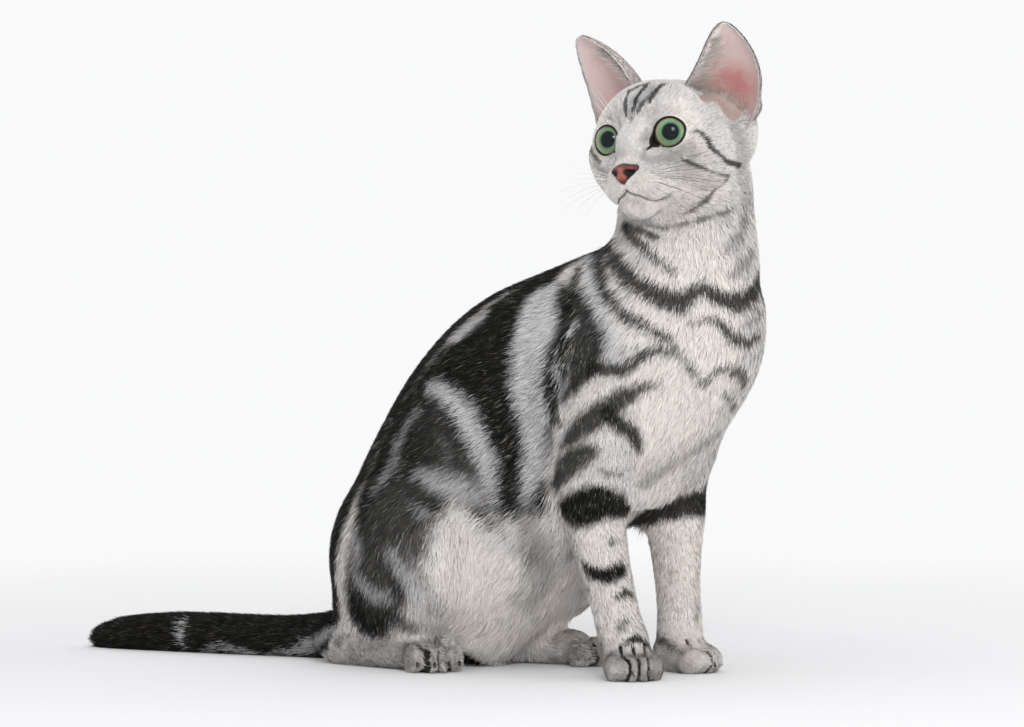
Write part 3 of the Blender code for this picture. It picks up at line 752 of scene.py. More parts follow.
own = to_head(skin_points)
eye_share = np.full(len(own), 9.0)
for sign in (1, -1):
    middle = EYE_PLACE * (sign, 1, 1)
    axes = eye_axes(sign)
    local = (own - middle) @ axes.T
    radius, around = np.hypot(local[:, 0], local[:, 1]), np.arctan2(local[:, 1], local[:, 0])
    opening = opening_radius(around)
    near = (radius < 30) & (local[:, 2] > -3) & (own[:, 0] * sign > -2)
    share = np.where(near, radius / opening, 9)
    hold = 1 - fade(opening + 0.8, opening + 8.5, radius)
    height = local[:, 2] + (lid_height(radius) - local[:, 2]) * hold
    height = np.where(share < 1.0, 3.0, height)
    local[:, 2] = np.where(near, height, local[:, 2])
    own = np.where(near[:, None], local @ axes + middle, own)
    eye_share = np.minimum(eye_share, share)
print("points behind the eyeballs", int((eye_share < 1.0).sum()))

# %% [markdown]
# ## The mouth
# A cat's closed mouth is a thin groove that sags beside the middle and curls up at its corner,
# joined to the nose by a short groove. It is pressed in along a line of places, with a slight
# swell below and above it for the lips, as a drawn line alone would look flat from the side.

# %% Mouth and philtrum
# Pixels of the mouth on the side that is seen, from below the nose to the corner
MOUTH_LINE = [(625, 191), (632, 194.5), (639.5, 197), (646, 199.7), (653, 201.5), (660, 200.5),
              (666, 197), (671, 194)]
PHILTRUM_TOP, PHILTRUM_LOW = np.array([0, 56.5, -27.0]), np.array([0, 53.0, -31.8])


def line_distance(points, line):
    """Distance from each point to a line of joined segments, and how far along the line it is."""
    best, along = np.full(len(points), 1e9), np.zeros(len(points))
    steps = np.linalg.norm(np.diff(line, axis=0), axis=1)
    for i, (a, b) in enumerate(zip(line, line[1:])):
        way = b - a
        t = np.clip((points - a) @ way / max(way @ way, 1e-9), 0, 1)
        gap = np.linalg.norm(points - a - t[:, None] * way, axis=1)
        nearer = gap < best
        best = np.where(nearer, gap, best)
        along = np.where(nearer, (steps[:i].sum() + t * steps[i]) / steps.sum(), along)
    return best, along


mouth = own[on_body(np.array(MOUTH_LINE))]
mouth = np.vstack([[0, mouth[0, 1], mouth[0, 2]], mouth[1:]])
out = head_slope(own)
lip_dark = np.zeros(len(own))
face = own[:, 1] > 20
for sign in (1, -1):
    gap, along = line_distance(own[face], mouth * (sign, 1, 1))
    groove = np.exp(-np.square(gap / 1.25)) * (1 - 0.5 * along)
    own[face] -= out[face] * (groove * 1.5)[:, None]
    swell = np.exp(-np.square((gap - 3.2) / 2.2)) * (1 - along)
    own[face] += out[face] * (0.5 * swell)[:, None]
    lip_dark[face] = np.maximum(lip_dark[face], groove)
gap, _ = line_distance(own[face], np.stack([PHILTRUM_TOP, PHILTRUM_LOW]))
groove = np.exp(-np.square(gap / 0.8))
own[face] -= out[face] * (groove * 0.9)[:, None]
lip_dark[face] = np.maximum(lip_dark[face], groove * 0.8)
skin_points = from_head(own)
print("mouth in the head's frame", mouth.round(1).tolist())

# %% [markdown]
# ## Seats of the ears and the nose
# Inside each ear's cup the head dips to the ear's root, and the dip is bare and pink. The skin is
# let down to a tilted floor there. Under the nose's pad it is pressed in, so that it can't show
# through.

# %% The ears' seats
EAR_ROOT = np.array([35.0, -9.0, 24.0])
EAR_TIPS = {"left": np.array([59.0, 11.0, 76.0]), "right": np.array([56.0, 10.0, 82.0])}
EAR_TURN = 22


def ear_frame(side):
    """An ear's own axes in the head's frame as columns: outwards, towards its mouth, along it."""
    along = unit(EAR_TIPS[side] - EAR_ROOT)
    mouth = np.array([math.sin(math.radians(EAR_TURN)), math.cos(math.radians(EAR_TURN)), 0])
    mouth = unit(mouth - along * (mouth @ along))
    outward = np.cross(along, mouth)
    outward = outward * np.sign(outward[0])
    return np.stack([outward, mouth, along], -1)


ear_dip = np.zeros(len(own))
for side, flip in (("left", 1), ("right", MIRROR)):
    frame_of_ear = ear_frame(side)
    local = (own * flip - EAR_ROOT) @ frame_of_ear
    narrow = fade(4, 22, local[:, 1])
    across = (local[:, 0] - 3 - 6 * narrow) / (20 - 10 * narrow)
    ahead = (local[:, 1] + 3) / np.where(local[:, 1] > -3, 21, 14)
    inside = np.exp(-across**4 - ahead**4) * (local[:, 2] > -18)
    floor_height = 3 - 9 * fade(-2, 14, local[:, 0])
    drop = inside * np.maximum(local[:, 2] - floor_height, 0)
    local[:, 2] -= drop
    moved = (local @ frame_of_ear.T + EAR_ROOT) * flip
    own = np.where((drop > 0.01)[:, None], moved, own)
    ear_dip = np.maximum(ear_dip, inside * fade(1.0, 4.0, drop))
print("points in the ears' mouths", int((ear_dip > 0.4).sum()))

# %% The nose's seat
# The pad is broad above and narrow below. The skin is pressed in under it
NOSE_TOP, NOSE_LOW, NOSE_HALF = -14.6, -27.6, 10.2


def nose_width(v):
    """Half the pad's width from its top, v = 0, to its foot, v = 1."""
    swell = 0.86 + 0.14 * np.sin(math.pi * np.clip(v * 2.4, 0, 1))
    return NOSE_HALF * swell * (1 - 0.86 * fade(0.36, 1.0, v))


on_pad = np.abs(own[:, 0]) < nose_width((own[:, 2] - NOSE_TOP) / (NOSE_LOW - NOSE_TOP)) - 0.3
on_pad &= (own[:, 2] < NOSE_TOP) & (own[:, 2] > NOSE_LOW + 0.5) & (own[:, 1] > 44)
own[:, 1] -= 5.0 * on_pad
skin_points = from_head(own)
print("points under the nose", int(on_pad.sum()))

# %% [markdown]
# ## Toes
# The fused skin has rounded over the toes. Grooves along each paw part them again, deepest in
# front and fading out towards the wrist.

# %% Toes
# Where the gaps between toes are across each paw, and their half widths where they aren't usual
TOE_GAPS = {"forepaw": (-9.6, 0, 9.6), "hindpaw": (-10.2, 0, 10.2)}
OUTER_GAP, INNER_GAP = {"hindpaw_right": 2.3}, {"hindpaw_right": 0.9}
USUAL_GAP, GAP_DEPTH = 1.45, 3.4
slit = np.zeros(len(skin_points))
on_toes = np.zeros(len(skin_points), bool)
for name, (place, heading) in PAWS.items():
    local = (skin_points - place) @ spin("z", heading)
    tip = -30 if name.startswith("fore") else -24
    length = fade(5, -9, local[:, 1]) * (local[:, 1] > tip - 4)
    here = (np.abs(local[:, 0]) < 23) & (local[:, 2] < 24)
    here &= (local[:, 1] < 10) & (local[:, 1] > tip - 6)
    on_toes |= here
    for x in TOE_GAPS[name.split("_")[0]]:
        wide = (OUTER_GAP if x else INNER_GAP).get(name, USUAL_GAP)
        groove = np.exp(-np.square((local[:, 0] - x * (1 + 0.012 * local[:, 1])) / wide)) * length * here
        slit = np.maximum(slit, groove)
paw_normals = point_normals(skin_points, coat_faces)
skin_points -= paw_normals * (GAP_DEPTH * slit * fade(0.0, 6, skin_points[:, 2]))[:, None]
print("points in the gaps between toes", int((slit > 0.3).sum()))

# %% [markdown]
# ## The markings as brush strokes
# A silver classic tabby is pale with charcoal bands: a necklace, bars on the legs, a dark saddle
# with pale whorls on the flank. They are painted as a painter would, wide strokes first and thin
# ones over them. A stroke is a line of places with a radius at each, and a point is covered where
# it is closer to the line than the radius. Each stroke is repeated on the side that isn't seen.
# Some strokes are painted shade, wholly or in part: the grey of the belly and its folds, the folds at the
# flank's foot and in the haunch, and the foot of the chest.

# %% Strokes on the body
# A stroke: its tone, its strength, how soft its edge is in pixels, and x, y and radius in pixels
BODY_STROKES = {
    "back_edge": ("dark", 1, 8, [(585, 225, 10), (540, 245, 22), (490, 265, 32), (440, 300, 38),
        (400, 350, 40), (370, 400, 40), (345, 450, 40), (322, 500, 38), (308, 550, 36), (310, 590, 30),
        (322, 625, 20)]),
    "side_dark": ("dark", 1, 14, [(500, 330, 26), (500, 380, 24), (503, 430, 24), (508, 475, 20)]),
    "hip_dark": ("dark", 0.95, 14, [(440, 425, 30), (455, 465, 26), (480, 500, 14)]),
    "chest": ("white", 0.9, 16, [(690, 235, 32), (688, 300, 55), (680, 370, 60), (672, 430, 46),
        (655, 480, 24)]),
    "saddle": ("dark", 1, 16, [(597, 236, 8), (566, 262, 20), (530, 292, 32), (480, 340, 44),
        (445, 385, 50), (420, 430, 55), (400, 480, 55), (385, 530, 48), (372, 580, 42), (366, 620, 30)]),
    "flank": ("dark", 1, 12, [(548, 305, 30), (535, 380, 34), (522, 440, 36), (507, 488, 28),
        (530, 492, 20)]),
    "haunch_white": ("white", 1, 26, [(462, 540, 24), (464, 570, 32), (470, 605, 34), (480, 635, 26)]),
    "belly_white": ("white", 0.9, 22, [(505, 575, 28), (530, 600, 34), (560, 585, 26), (560, 625, 26),
        (520, 640, 26)]),
    # painted shade: grey streaks along the folds of the white haunch
    "haunch_fold_shade": ("grey", 0.7, 12, [(418, 560, 8), (420, 590, 10), (436, 615, 9)]),
    "back_spot": ("silver", 0.85, 13, [(458, 334, 8), (470, 325, 9), (484, 313, 6)]),
    "back_rim": ("silver", 0.5, 11, [(417, 408, 4), (402, 430, 4), (396, 447, 5), (394, 462, 5),
        (382, 478, 4), (375, 491, 3)]),
    "flank_band": ("silver", 1, 13, [(552, 287, 9), (541, 300, 20), (537, 322, 24), (529, 350, 18),
        (527, 385, 15), (534, 420, 15), (538, 450, 13), (531, 480, 10), (526, 497, 6)]),
    "band_grey": ("grey", 0.5, 12, [(529, 345, 4), (531, 380, 5), (535, 420, 5), (545, 455, 7),
        (541, 485, 5)]),
    "band_end": ("dark", 0.6, 6, [(522, 435, 3), (526, 455, 3), (531, 472, 2)]),
    "hip_bar": ("silver", 1, 13, [(432, 387, 6.5), (447, 392, 8.6), (462, 412, 10.8), (475, 437, 10.8),
        (487, 460, 9.7), (492, 480, 8.6), (494, 499, 4.3)]),
    "hip_patch": ("silver", 0.8, 18, [(424, 474, 5.8), (443, 481, 10.3), (463, 487, 11.5),
        (478, 496, 9.2)]),
    "hip_sliver": ("silver", 0.55, 11, [(411, 505, 3), (427, 516, 5)]),
    "rump_curl": ("silver", 0.6, 12, [(353, 531, 5.8), (357, 548, 5.8), (352, 566, 4.6),
        (357, 582, 4.6), (368, 593, 6.9), (386, 599, 6.9)]),
    "rump_bar": ("silver", 0.85, 12, [(388, 550, 4.4), (398, 566, 6.6), (410, 584, 8.8),
        (420, 600, 8.8)]),
    "rump_low": ("silver", 0.7, 12, [(347, 618, 6), (332, 634, 7), (316, 650, 6)]),
    "rump_mix": ("grey", 0.5, 7, [(370, 640, 8), (350, 650, 6)]),
    "rump_smoke": ("grey", 0.12, 40, [(400, 505, 30), (384, 540, 34), (378, 585, 30)]),
    "hip_smoke": ("grey", 0.07, 40, [(440, 420, 30), (448, 455, 30), (470, 505, 20)]),
    "hip_swirl": ("grey", 0.4, 14, [(428, 525, 5), (412, 540, 5), (404, 560, 5), (408, 582, 5)]),
    "hip_swirl_two": ("grey", 0.3, 14, [(447, 440, 4), (452, 458, 5), (440, 470, 4)]),
    "shoulder_smoke": ("grey", 0.3, 14, [(596, 342, 6), (606, 356, 8), (620, 355, 8), (632, 352, 5)]),
    "chest_cream": ("white", 0.9, 14, [(655, 380, 12), (672, 400, 22), (680, 430, 22), (660, 450, 16)]),
    "hock_dark": ("dark", 0.85, 12, [(388, 614, 9), (402, 624, 10), (415, 628, 6)]),
    # painted shadow: dark lines where the fur folds at the flank's foot, over the thigh's front edge
    "fold_painted_shadow": ("dark", 0.9, 7, [(463, 507, 3), (484, 515, 5), (496, 527, 5), (504, 536, 3)]),
    "fold_painted_shadow_two": ("dark", 0.85, 9, [(512, 478, 9), (516, 501, 8), (524, 519, 5), (527, 532, 3)]),
    "fold_painted_shadow_three": ("dark", 0.85, 10, [(545, 488, 7), (543, 511, 6)]),
    # partly the belly's own grey and partly painted shade: the belly between haunch and forelegs is
    # greyed, and dark strokes paint shade into its fur folds
    "belly_grey_and_shade": ("grey", 0.8, 20, [(528, 522, 12), (540, 550, 17), (546, 580, 15), (532, 606, 10)]),
    "belly_fold_painted_shade": ("dark", 0.6, 8, [(538, 545, 3), (530, 562, 3.5), (521, 588, 3), (513, 602, 2)]),
    "belly_dash": ("grey", 0.6, 5, [(512, 596, 4), (520, 606, 3)]),
    "band_line": ("dark", 0.8, 6, [(556, 340, 3), (548, 360, 4), (549, 385, 4), (553, 405, 4),
        (558, 424, 3)]),
    "band_light": ("silver", 0.8, 6, [(557, 352, 3), (557, 376, 4), (563, 400, 4), (566, 424, 4),
        (556, 448, 4), (549, 462, 3)]),
    "shoulder_line": ("dark", 0.95, 8, [(578, 268, 5), (572, 290, 7), (568, 322, 6), (564, 350, 6),
        (563, 376, 3)]),
    "shoulder_band": ("silver", 1, 10, [(588, 256, 6), (591, 283, 9), (595, 308, 10), (606, 333, 11),
        (617, 355, 9)]),
    "shoulder_patch": ("dark", 0.95, 12, [(579, 296, 8), (583, 315, 14), (586, 338, 19), (582, 362, 19),
        (572, 384, 11), (563, 398, 4)]),
    "shoulder_sliver": ("silver", 0.8, 3, [(578, 317, 2.5), (570, 331, 3)]),
    "shoulder_light": ("white", 0.8, 12, [(582, 392, 7), (592, 392, 9), (604, 388, 9), (600, 396, 7)]),
    "lace_three_right": ("dark", 0.93, 7, [(598, 238, 9), (600, 262, 8), (604, 286, 6.5),
        (615, 304, 5.5), (628, 316, 5.5), (641, 323, 5), (656, 332, 4.5), (668, 336, 2.5)]),
    "lace_broad": ("dark", 0.93, 6, [(607, 240, 5.2), (616, 258, 7.4), (630, 274, 8.9), (648, 287, 9.5),
        (664, 296, 10), (680, 300, 10), (692, 294, 7.9), (705, 289, 6.3), (720, 296, 7.9),
        (738, 300, 9.5), (754, 294, 9.5), (765, 272, 7.4)]),
    "lace_upper": ("dark", 0.85, 5, [(622, 226, 4.8), (632, 238, 4.8), (645, 248, 4.6), (660, 260, 4.2),
        (676, 270, 2.4)]),
    "lace_short": ("dark", 0.8, 4, [(625, 225, 3.6), (640, 231, 3.6), (655, 237, 2.4)]),
    "collar": ("dark", 0.65, 4, [(646, 225, 2.1), (660, 226.5, 2.8), (684, 223.5, 2.8), (705, 218, 2.5),
        (725, 211, 2.1), (736, 207, 1.4)]),
    "neck_left": ("grey", 0.9, 6, [(748, 218, 5), (738, 236, 4), (726, 250, 3)]),
    "neck_left_two": ("grey", 0.9, 6, [(754, 250, 5.2), (744, 266, 5.2), (733, 276, 2.6)]),
    "lace_low_left": ("dark", 0.93, 5, [(688, 322, 1.5), (702, 320, 2.5), (716, 321, 3.5),
        (725, 327, 4.5), (732, 337, 5.5), (742, 343, 5.5), (753, 341, 5), (762, 333, 4)]),
    "lace_faint": ("grey", 0.6, 3, [(686, 320, 1.5), (700, 320, 1)]),
    "lace_faint_left": ("grey", 0.9, 5, [(739, 326, 2.5), (748, 322, 3), (758, 317, 3), (763, 310, 2.5)]),
    "shoulder_sweep": ("dark", 0.92, 8, [(592, 366, 8), (606, 369, 8), (620, 368, 7.5), (632, 365, 6.5),
        (644, 357, 6), (655, 351, 5), (668, 349, 4), (678, 354, 3.5), (688, 363, 3.2), (695, 373, 2.8),
        (699, 381, 2)]),
    "sweep_fork": ("dark", 0.7, 5, [(660, 338, 3), (672, 343, 3), (682, 355, 2.5)]),
    "lace_fork_left": ("dark", 0.84, 5, [(704, 384, 2.2), (711, 378, 3), (719, 371, 3.5), (730, 367, 4),
        (738, 369, 5), (743, 376, 6), (747, 384, 5)]),
    "chest_mark_left": ("dark", 0.8, 5, [(727, 393, 3.5), (733, 400, 4), (736, 407, 3)]),
    "elbow_band": ("dark", 0.93, 11, [(657, 384, 3), (647, 385, 5), (635, 391, 7), (622, 400, 9),
        (609, 409, 12), (596, 416, 13), (583, 424, 12), (570, 438, 9), (560, 448, 4)]),
    "elbow_hook": ("dark", 0.95, 8, [(608, 412, 6.9), (620, 424, 8), (632, 433, 8.6), (638, 441, 6.9),
        (640, 449, 4.6)]),
    "elbow_patch": ("dark", 0.93, 11, [(553, 484, 8), (561, 470, 13), (574, 458, 14), (588, 450, 9)]),
    "elbow_dash": ("dark", 0.75, 5, [(602, 470, 3.2), (610, 474, 2.6), (621, 476, 2.6)]),
    "arm_left_shade": ("grey", 0.9, 12, [(645, 482, 7.7), (668, 468, 5.5), (692, 454, 4.4),
        (712, 440, 4.4), (722, 433, 3.3)]),
}
LEG_STROKES = {
    "leg_white": ("white", 0.8, 8, [(600, 520, 26), (605, 560, 24), (615, 600, 22), (625, 640, 20)]),
    "paw_grey": ("grey", 0.5, 8, [(616, 655, 12), (640, 660, 16), (662, 664, 10)]),
    "bar_wide": ("dark", 1, 9, [(566, 512, 14), (582, 508, 20), (600, 504, 20), (616, 506, 15),
        (629, 510, 8)]),
    "bar_wide_low": ("dark", 0.9, 9, [(574, 524, 7), (586, 520, 5)]),
    "bar_spot": ("dark", 0.8, 4, [(613, 543, 3.2), (616, 541, 1.3)]),
    "bar_two": ("dark", 1, 6, [(581, 563, 3.3), (591, 572, 6.6), (606, 575, 7.7), (620, 572, 7.7),
        (625, 565, 3.3)]),
    "bar_three": ("dark", 0.9, 5, [(617, 597, 2.2), (626, 594, 5.5), (634, 594, 3.3)]),
    "bar_four": ("dark", 0.85, 5, [(619, 627, 3), (628, 620, 3)]),
    "bar_four_side": ("dark", 0.7, 4, [(643, 624, 2), (644, 630, 2)]),
    "bar_wrist": ("dark", 0.97, 4, [(625, 643, 2.4), (636, 639, 4.8), (648, 643, 3)]),
}
OWN_LEG_STROKES = {
    "left_white": ("white", 1, 8, [(672, 500, 26), (672, 530, 28), (675, 580, 26), (680, 620, 24),
        (690, 650, 20)]),
    "left_bar": ("dark", 0.97, 7, [(638, 521, 13), (652, 517, 14), (668, 511, 14), (686, 505, 14),
        (704, 502, 13)]),
    # painted shade: a soft grey at the foot of the chest, above the forelegs
    "chest_foot_painted_shade": ("grey", 0.28, 24, [(650, 472, 14), (680, 456, 16), (706, 440, 10)]),
    "left_paw_grey": ("grey", 0.25, 8, [(668, 655, 10), (690, 665, 12), (712, 664, 8)]),
    "left_tan": ("tan", 0.4, 4, [(668, 572, 2), (674, 572, 3)]),
    "left_edge": ("dark", 0.5, 4, [(698, 572, 2), (699, 580, 1)]),
    "left_edge_two": ("dark", 0.6, 4, [(698, 600, 1.8), (697, 618, 3)]),
    "left_edge_wrist": ("dark", 0.6, 3, [(700, 640, 2.5), (703, 643, 2)]),
    "left_wrist": ("dark", 0.8, 6, [(661, 640, 4), (671, 648, 4), (681, 653, 2)]),
    "right_foot": ("grey", 0.35, 6, [(349, 658, 8), (372, 655, 9), (398, 651, 9), (425, 653, 9),
        (448, 656, 8)]),
    "right_heel": ("dark", 0.8, 4, [(388, 667, 3), (393, 668, 3)]),
    "tail_all": ("dark", 1, 4, [(318, 632, 20), (290, 634, 26), (250, 636, 26), (200, 634, 26),
        (150, 634, 26), (95, 635, 24)]),
    "tail_under": ("silver", 0.6, 4, [(208, 651, 2), (223, 648, 5), (241, 651, 5), (259, 654, 3),
        (276, 657, 2), (294, 654, 5), (310, 646, 8)]),
    "tail_root": ("silver", 0.6, 8, [(300, 650, 4), (318, 641, 5), (334, 628, 5)]),
    "tail_root_dark": ("dark", 0.8, 8, [(318, 654, 3), (336, 642, 4), (350, 630, 3)]),
    "tail_ring": ("silver", 0.75, 3, [(185, 618, 4), (182, 628, 4.5), (181, 637, 4.5), (182, 646, 4)]),
}
HEAD_STROKES = {
    "face_white": ("white", 0.98, 18, [(720, 190, 18), (700, 190, 20), (690, 120, 18), (680, 105, 14)]),
    "forehead_silver": ("silver", 0.5, 12, [(632, 104, 16), (650, 88, 18), (680, 80, 10)]),
    "brow_grey": ("grey", 0.55, 6, [(630, 114, 5), (638, 98, 8), (650, 88, 8)]),
    "far_cheek": ("grey", 0.7, 6, [(592, 150, 4), (594, 160, 6), (600, 172, 6), (606, 180, 4)]),
    "far_cheek_dark": ("dark", 0.7, 3, [(590, 146, 2), (594, 156, 2.5), (600, 163, 2)]),
    "muzzle_white": ("white", 0.9, 7, [(630, 187, 10), (645, 187, 13), (660, 190, 14), (676, 196, 12)]),
    "chin_white": ("white", 0.9, 6, [(632, 207, 6), (650, 212, 10), (672, 214, 12)]),
    "bridge_pale": ("white", 0.5, 6, [(640, 120, 6), (634, 140, 6), (630, 155, 5)]),
    "bridge_side": ("grey", 0.6, 5, [(642, 148, 3), (643, 156, 4), (650, 161, 5), (662, 158, 6),
        (676, 156, 6)]),
    "cheek_grey": ("grey", 0.5, 8, [(682, 147, 5), (692, 150, 6), (690, 162, 6)]),
    "ear_front_grey": ("grey", 0.45, 6, [(697, 82, 7), (703, 70, 6), (706, 58, 4)]),
    "side_grey": ("grey", 0.5, 10, [(735, 130, 8), (742, 150, 10), (746, 175, 12), (748, 200, 10)]),
    "brow_one": ("dark", 0.85, 1.6, [(626, 115, 1.6), (625, 100, 2.2), (629, 90, 2.2), (637, 86, 2.6),
        (643, 84, 2)]),
    "brow_two": ("dark", 0.9, 1.6, [(632, 111, 2), (636, 99, 2.3), (641, 90, 2.3), (648, 83, 2.6)]),
    "brow_three": ("dark", 0.8, 1.5, [(637, 111, 1.6), (642, 103, 2), (647, 98, 2)]),
    "brow_four": ("dark", 0.9, 1.8, [(650, 100, 2.8), (655, 91, 3), (662, 83, 2.8)]),
    "brow_five": ("dark", 0.6, 1.8, [(630, 123, 1), (632, 117, 1.2)]),
    "brow_six": ("grey", 0.7, 2, [(654, 110, 1), (656, 100, 1.5)]),
    "brow_side": ("grey", 0.8, 2, [(613, 121, 1.2), (607, 117, 1.2)]),
    "brow_side_two": ("grey", 0.7, 2, [(617, 112, 1), (615, 106, 1)]),
    "eye_line": ("dark", 0.9, 2, [(694, 129, 1), (700, 131, 2), (707, 137, 2.4), (712, 147, 2.2),
        (720, 155, 2), (729, 161, 2.5), (739, 167, 3.5)]),
    "cheek_line": ("dark", 0.8, 1.8, [(683, 160, 1.6), (691, 163, 1.8), (705, 169, 1.6),
        (722, 176, 1.8), (731, 174, 1.4)]),
    "cheek_dash": ("dark", 0.65, 1.6, [(691, 157, 1.2), (703, 154, 1)]),
    "jaw_line": ("dark", 0.75, 2, [(729, 179, 2), (718, 190, 2), (706, 200, 2.6), (694, 209, 2),
        (683, 214, 1.2)]),
    "eye_corner": ("dark", 1, 1.4, [(652, 139, 1.6), (648, 145, 1.8), (645, 150, 1.2)]),
    "pad_dots": ("grey", 0.6, 1.6, [(652, 172, 0.8), (658, 174, 0.8)]),
    "chin_tan": ("tan", 0.16, 5, [(630, 201, 4), (640, 205, 5)]),
    "lip_dark": ("dark", 0.6, 2, [(655, 203, 1), (664, 200, 1.8), (671, 196, 1.5)]),
}
# What each tone draws the dark, the white and the tan share towards
TONES = {
    "dark": (1, None, 0), "grey": (0.55, None, 0), "silver": (0, 0.15, 0), "white": (0, 1, 0),
    "tan": (0.25, 1, 1),
}
print(len(BODY_STROKES) + len(LEG_STROKES) + len(OWN_LEG_STROKES) + len(HEAD_STROKES), "strokes")

# %% [markdown]
# ## Painting the strokes
# Each mark of a stroke is carried along its ray onto the body. On parts that have a twin, the
# stroke's hidden stretches are set down mirrored on the other side. All points of the skin are
# then painted at once, stroke by stroke.

# %% Strokes on the skin


def nearest(points):
    """The number of the skin's own point nearest each given one."""
    out = []
    for start in range(0, len(points), 64):
        gaps = np.linalg.norm(skin_points[None] - points[start:start + 64, None], axis=2)
        out.append(gaps.argmin(1))
    return np.concatenate(out)


def across_body(points):
    """The same places on the body's other side: the offset from the nearest middle line is
    mirrored, and on a leg it is set down on the other leg's line."""
    numbers, _ = part_numbers(points)
    out = []
    for point, number in zip(points, numbers):
        name = NAMES[number].replace("forepaw", "foreleg")
        if name == "head":
            out.append(from_head(to_head(point[None]) * MIRROR)[0])
            continue
        rows = LINES[name]
        k = np.linalg.norm(rows[:, :3] - point, axis=1).argmin()
        offset = point - rows[k, :3]
        turn = math.radians(rows[k, 6]) if name in ("trunk", "brisket", "belly") else 0
        side = np.array([math.cos(turn), math.sin(turn), 0])
        offset = offset - 2 * (offset @ side) * side
        twin = name.replace("right", "*").replace("left", "right").replace("*", "left")
        out.append(LINES[twin][k, :3] + offset)
    return nearest(np.array(out))


def unseen_runs(numbers):
    """The stretches of a line of skin points that the camera doesn't see, as slices."""
    hidden = coat_normals[numbers] @ VIEW_WAY > -0.12
    ends = np.flatnonzero(np.diff(np.concatenate([[0], hidden.astype(int), [0]])))
    return [slice(a, b) for a, b in zip(ends[::2], ends[1::2]) if b - a > 1]


def placed_strokes():
    """Every stroke as its tone, strength, softness, points on the skin and radii."""
    back = LINES["trunk"][:, :3] + LINES["trunk"][:, 4:5] * (0, 1, 0)
    back = skin_points[nearest(back[back[:, 2] < 262])]
    out = [("dark", 1, 8, back, np.full(len(back), 34.0))]
    out.append(("dark", 1, 4, LINES["tail"][3:, :3], np.full(len(LINES["tail"]) - 3, 24.0)))
    groups = ((BODY_STROKES, True), (LEG_STROKES, True), (OWN_LEG_STROKES, False), (HEAD_STROKES, True))
    for strokes, mirrored in groups:
        for tone, strength, soft, marks in strokes.values():
            marks = np.array(marks, float)
            line = skin_points[on_body(marks)]
            radii = marks[:, 2] * PIXEL
            out.append((tone, strength, soft * PIXEL, line, radii))
            twin = across_body(line)
            for run in unseen_runs(twin) if mirrored else ():
                out.append((tone, strength, soft * PIXEL, skin_points[twin[run]], radii[run]))
    return out


STROKES = placed_strokes()


def markings(points):
    """How dark, how white and how tan each point is, from all strokes in their order. Between
    two marks a stroke's radius changes evenly, and its edge is moved by a small drift."""
    values = np.tile(np.array([0.0, 0.5, 0.0]), (len(points), 1))
    ragged = drift(points, 3.5, 11) + 0.7 * drift(points, 1.6, 12)
    for tone, strength, soft, line, radii in STROKES:
        reach = radii.max() + soft + 3
        boxed = (points > line.min(0) - reach) & (points < line.max(0) + reach)
        near = np.flatnonzero(np.all(boxed, axis=1))
        if not len(near):
            continue
        own = points[near]
        best = np.full(len(near), 1e9)
        for i, (a, b) in enumerate(zip(line, line[1:])):
            way = b - a
            t = np.clip((own - a) @ way / max(way @ way, 1e-9), 0, 1)
            radius = radii[i] + (radii[i + 1] - radii[i]) * t
            best = np.minimum(best, np.linalg.norm(own - a - t[:, None] * way, axis=1) - radius)
        best += ragged[near] * min(1.0, 0.25 * soft + 0.1)
        cover = (1 - fade(-soft / 2, soft / 2, best)) * strength
        for column, target in enumerate(TONES[tone]):
            if target is not None:
                values[near, column] += (target - values[near, column]) * cover
    return values


skin_tones = markings(skin_points)
skin_tones[:, 0] = np.maximum(skin_tones[:, 0], 0.9 * lip_dark)
skin_tones[:, 0] = np.where(eye_share < 1.02, 1, skin_tones[:, 0])
pink = fade(0.35, 0.6, ear_dip)
skin_tones[:, :2] += (np.array([0.1, 1.0]) - skin_tones[:, :2]) * pink[:, None]
skin_tones[:, 2] = np.maximum(skin_tones[:, 2], 0.5 * pink)
# painted shade: the gaps between the toes are darkened nearly to black
skin_tones[:, 0] = np.maximum(skin_tones[:, 0], 0.97 * fade(0.15, 0.6, slit) * (skin_points[:, 2] < 30))
print("dark share of the skin's points", float((skin_tones[:, 0] > 0.5).mean().round(3)))

# %% [markdown]
# ## Which way the hair lies
# Hair lies away from the nose, down the neck and chest, back along the flank and down each leg.
# The way is a mix of the middle lines' directions by how near each line is, and on the head it
# is simply the way from the nose. Blurring it over the mesh makes the turns smooth.

# %% The lie of the coat
NOSE_TIP = np.array([0, 60.0, -21.0])
FLANK_POINT = np.array([-62.0, 96.0, 205.0])


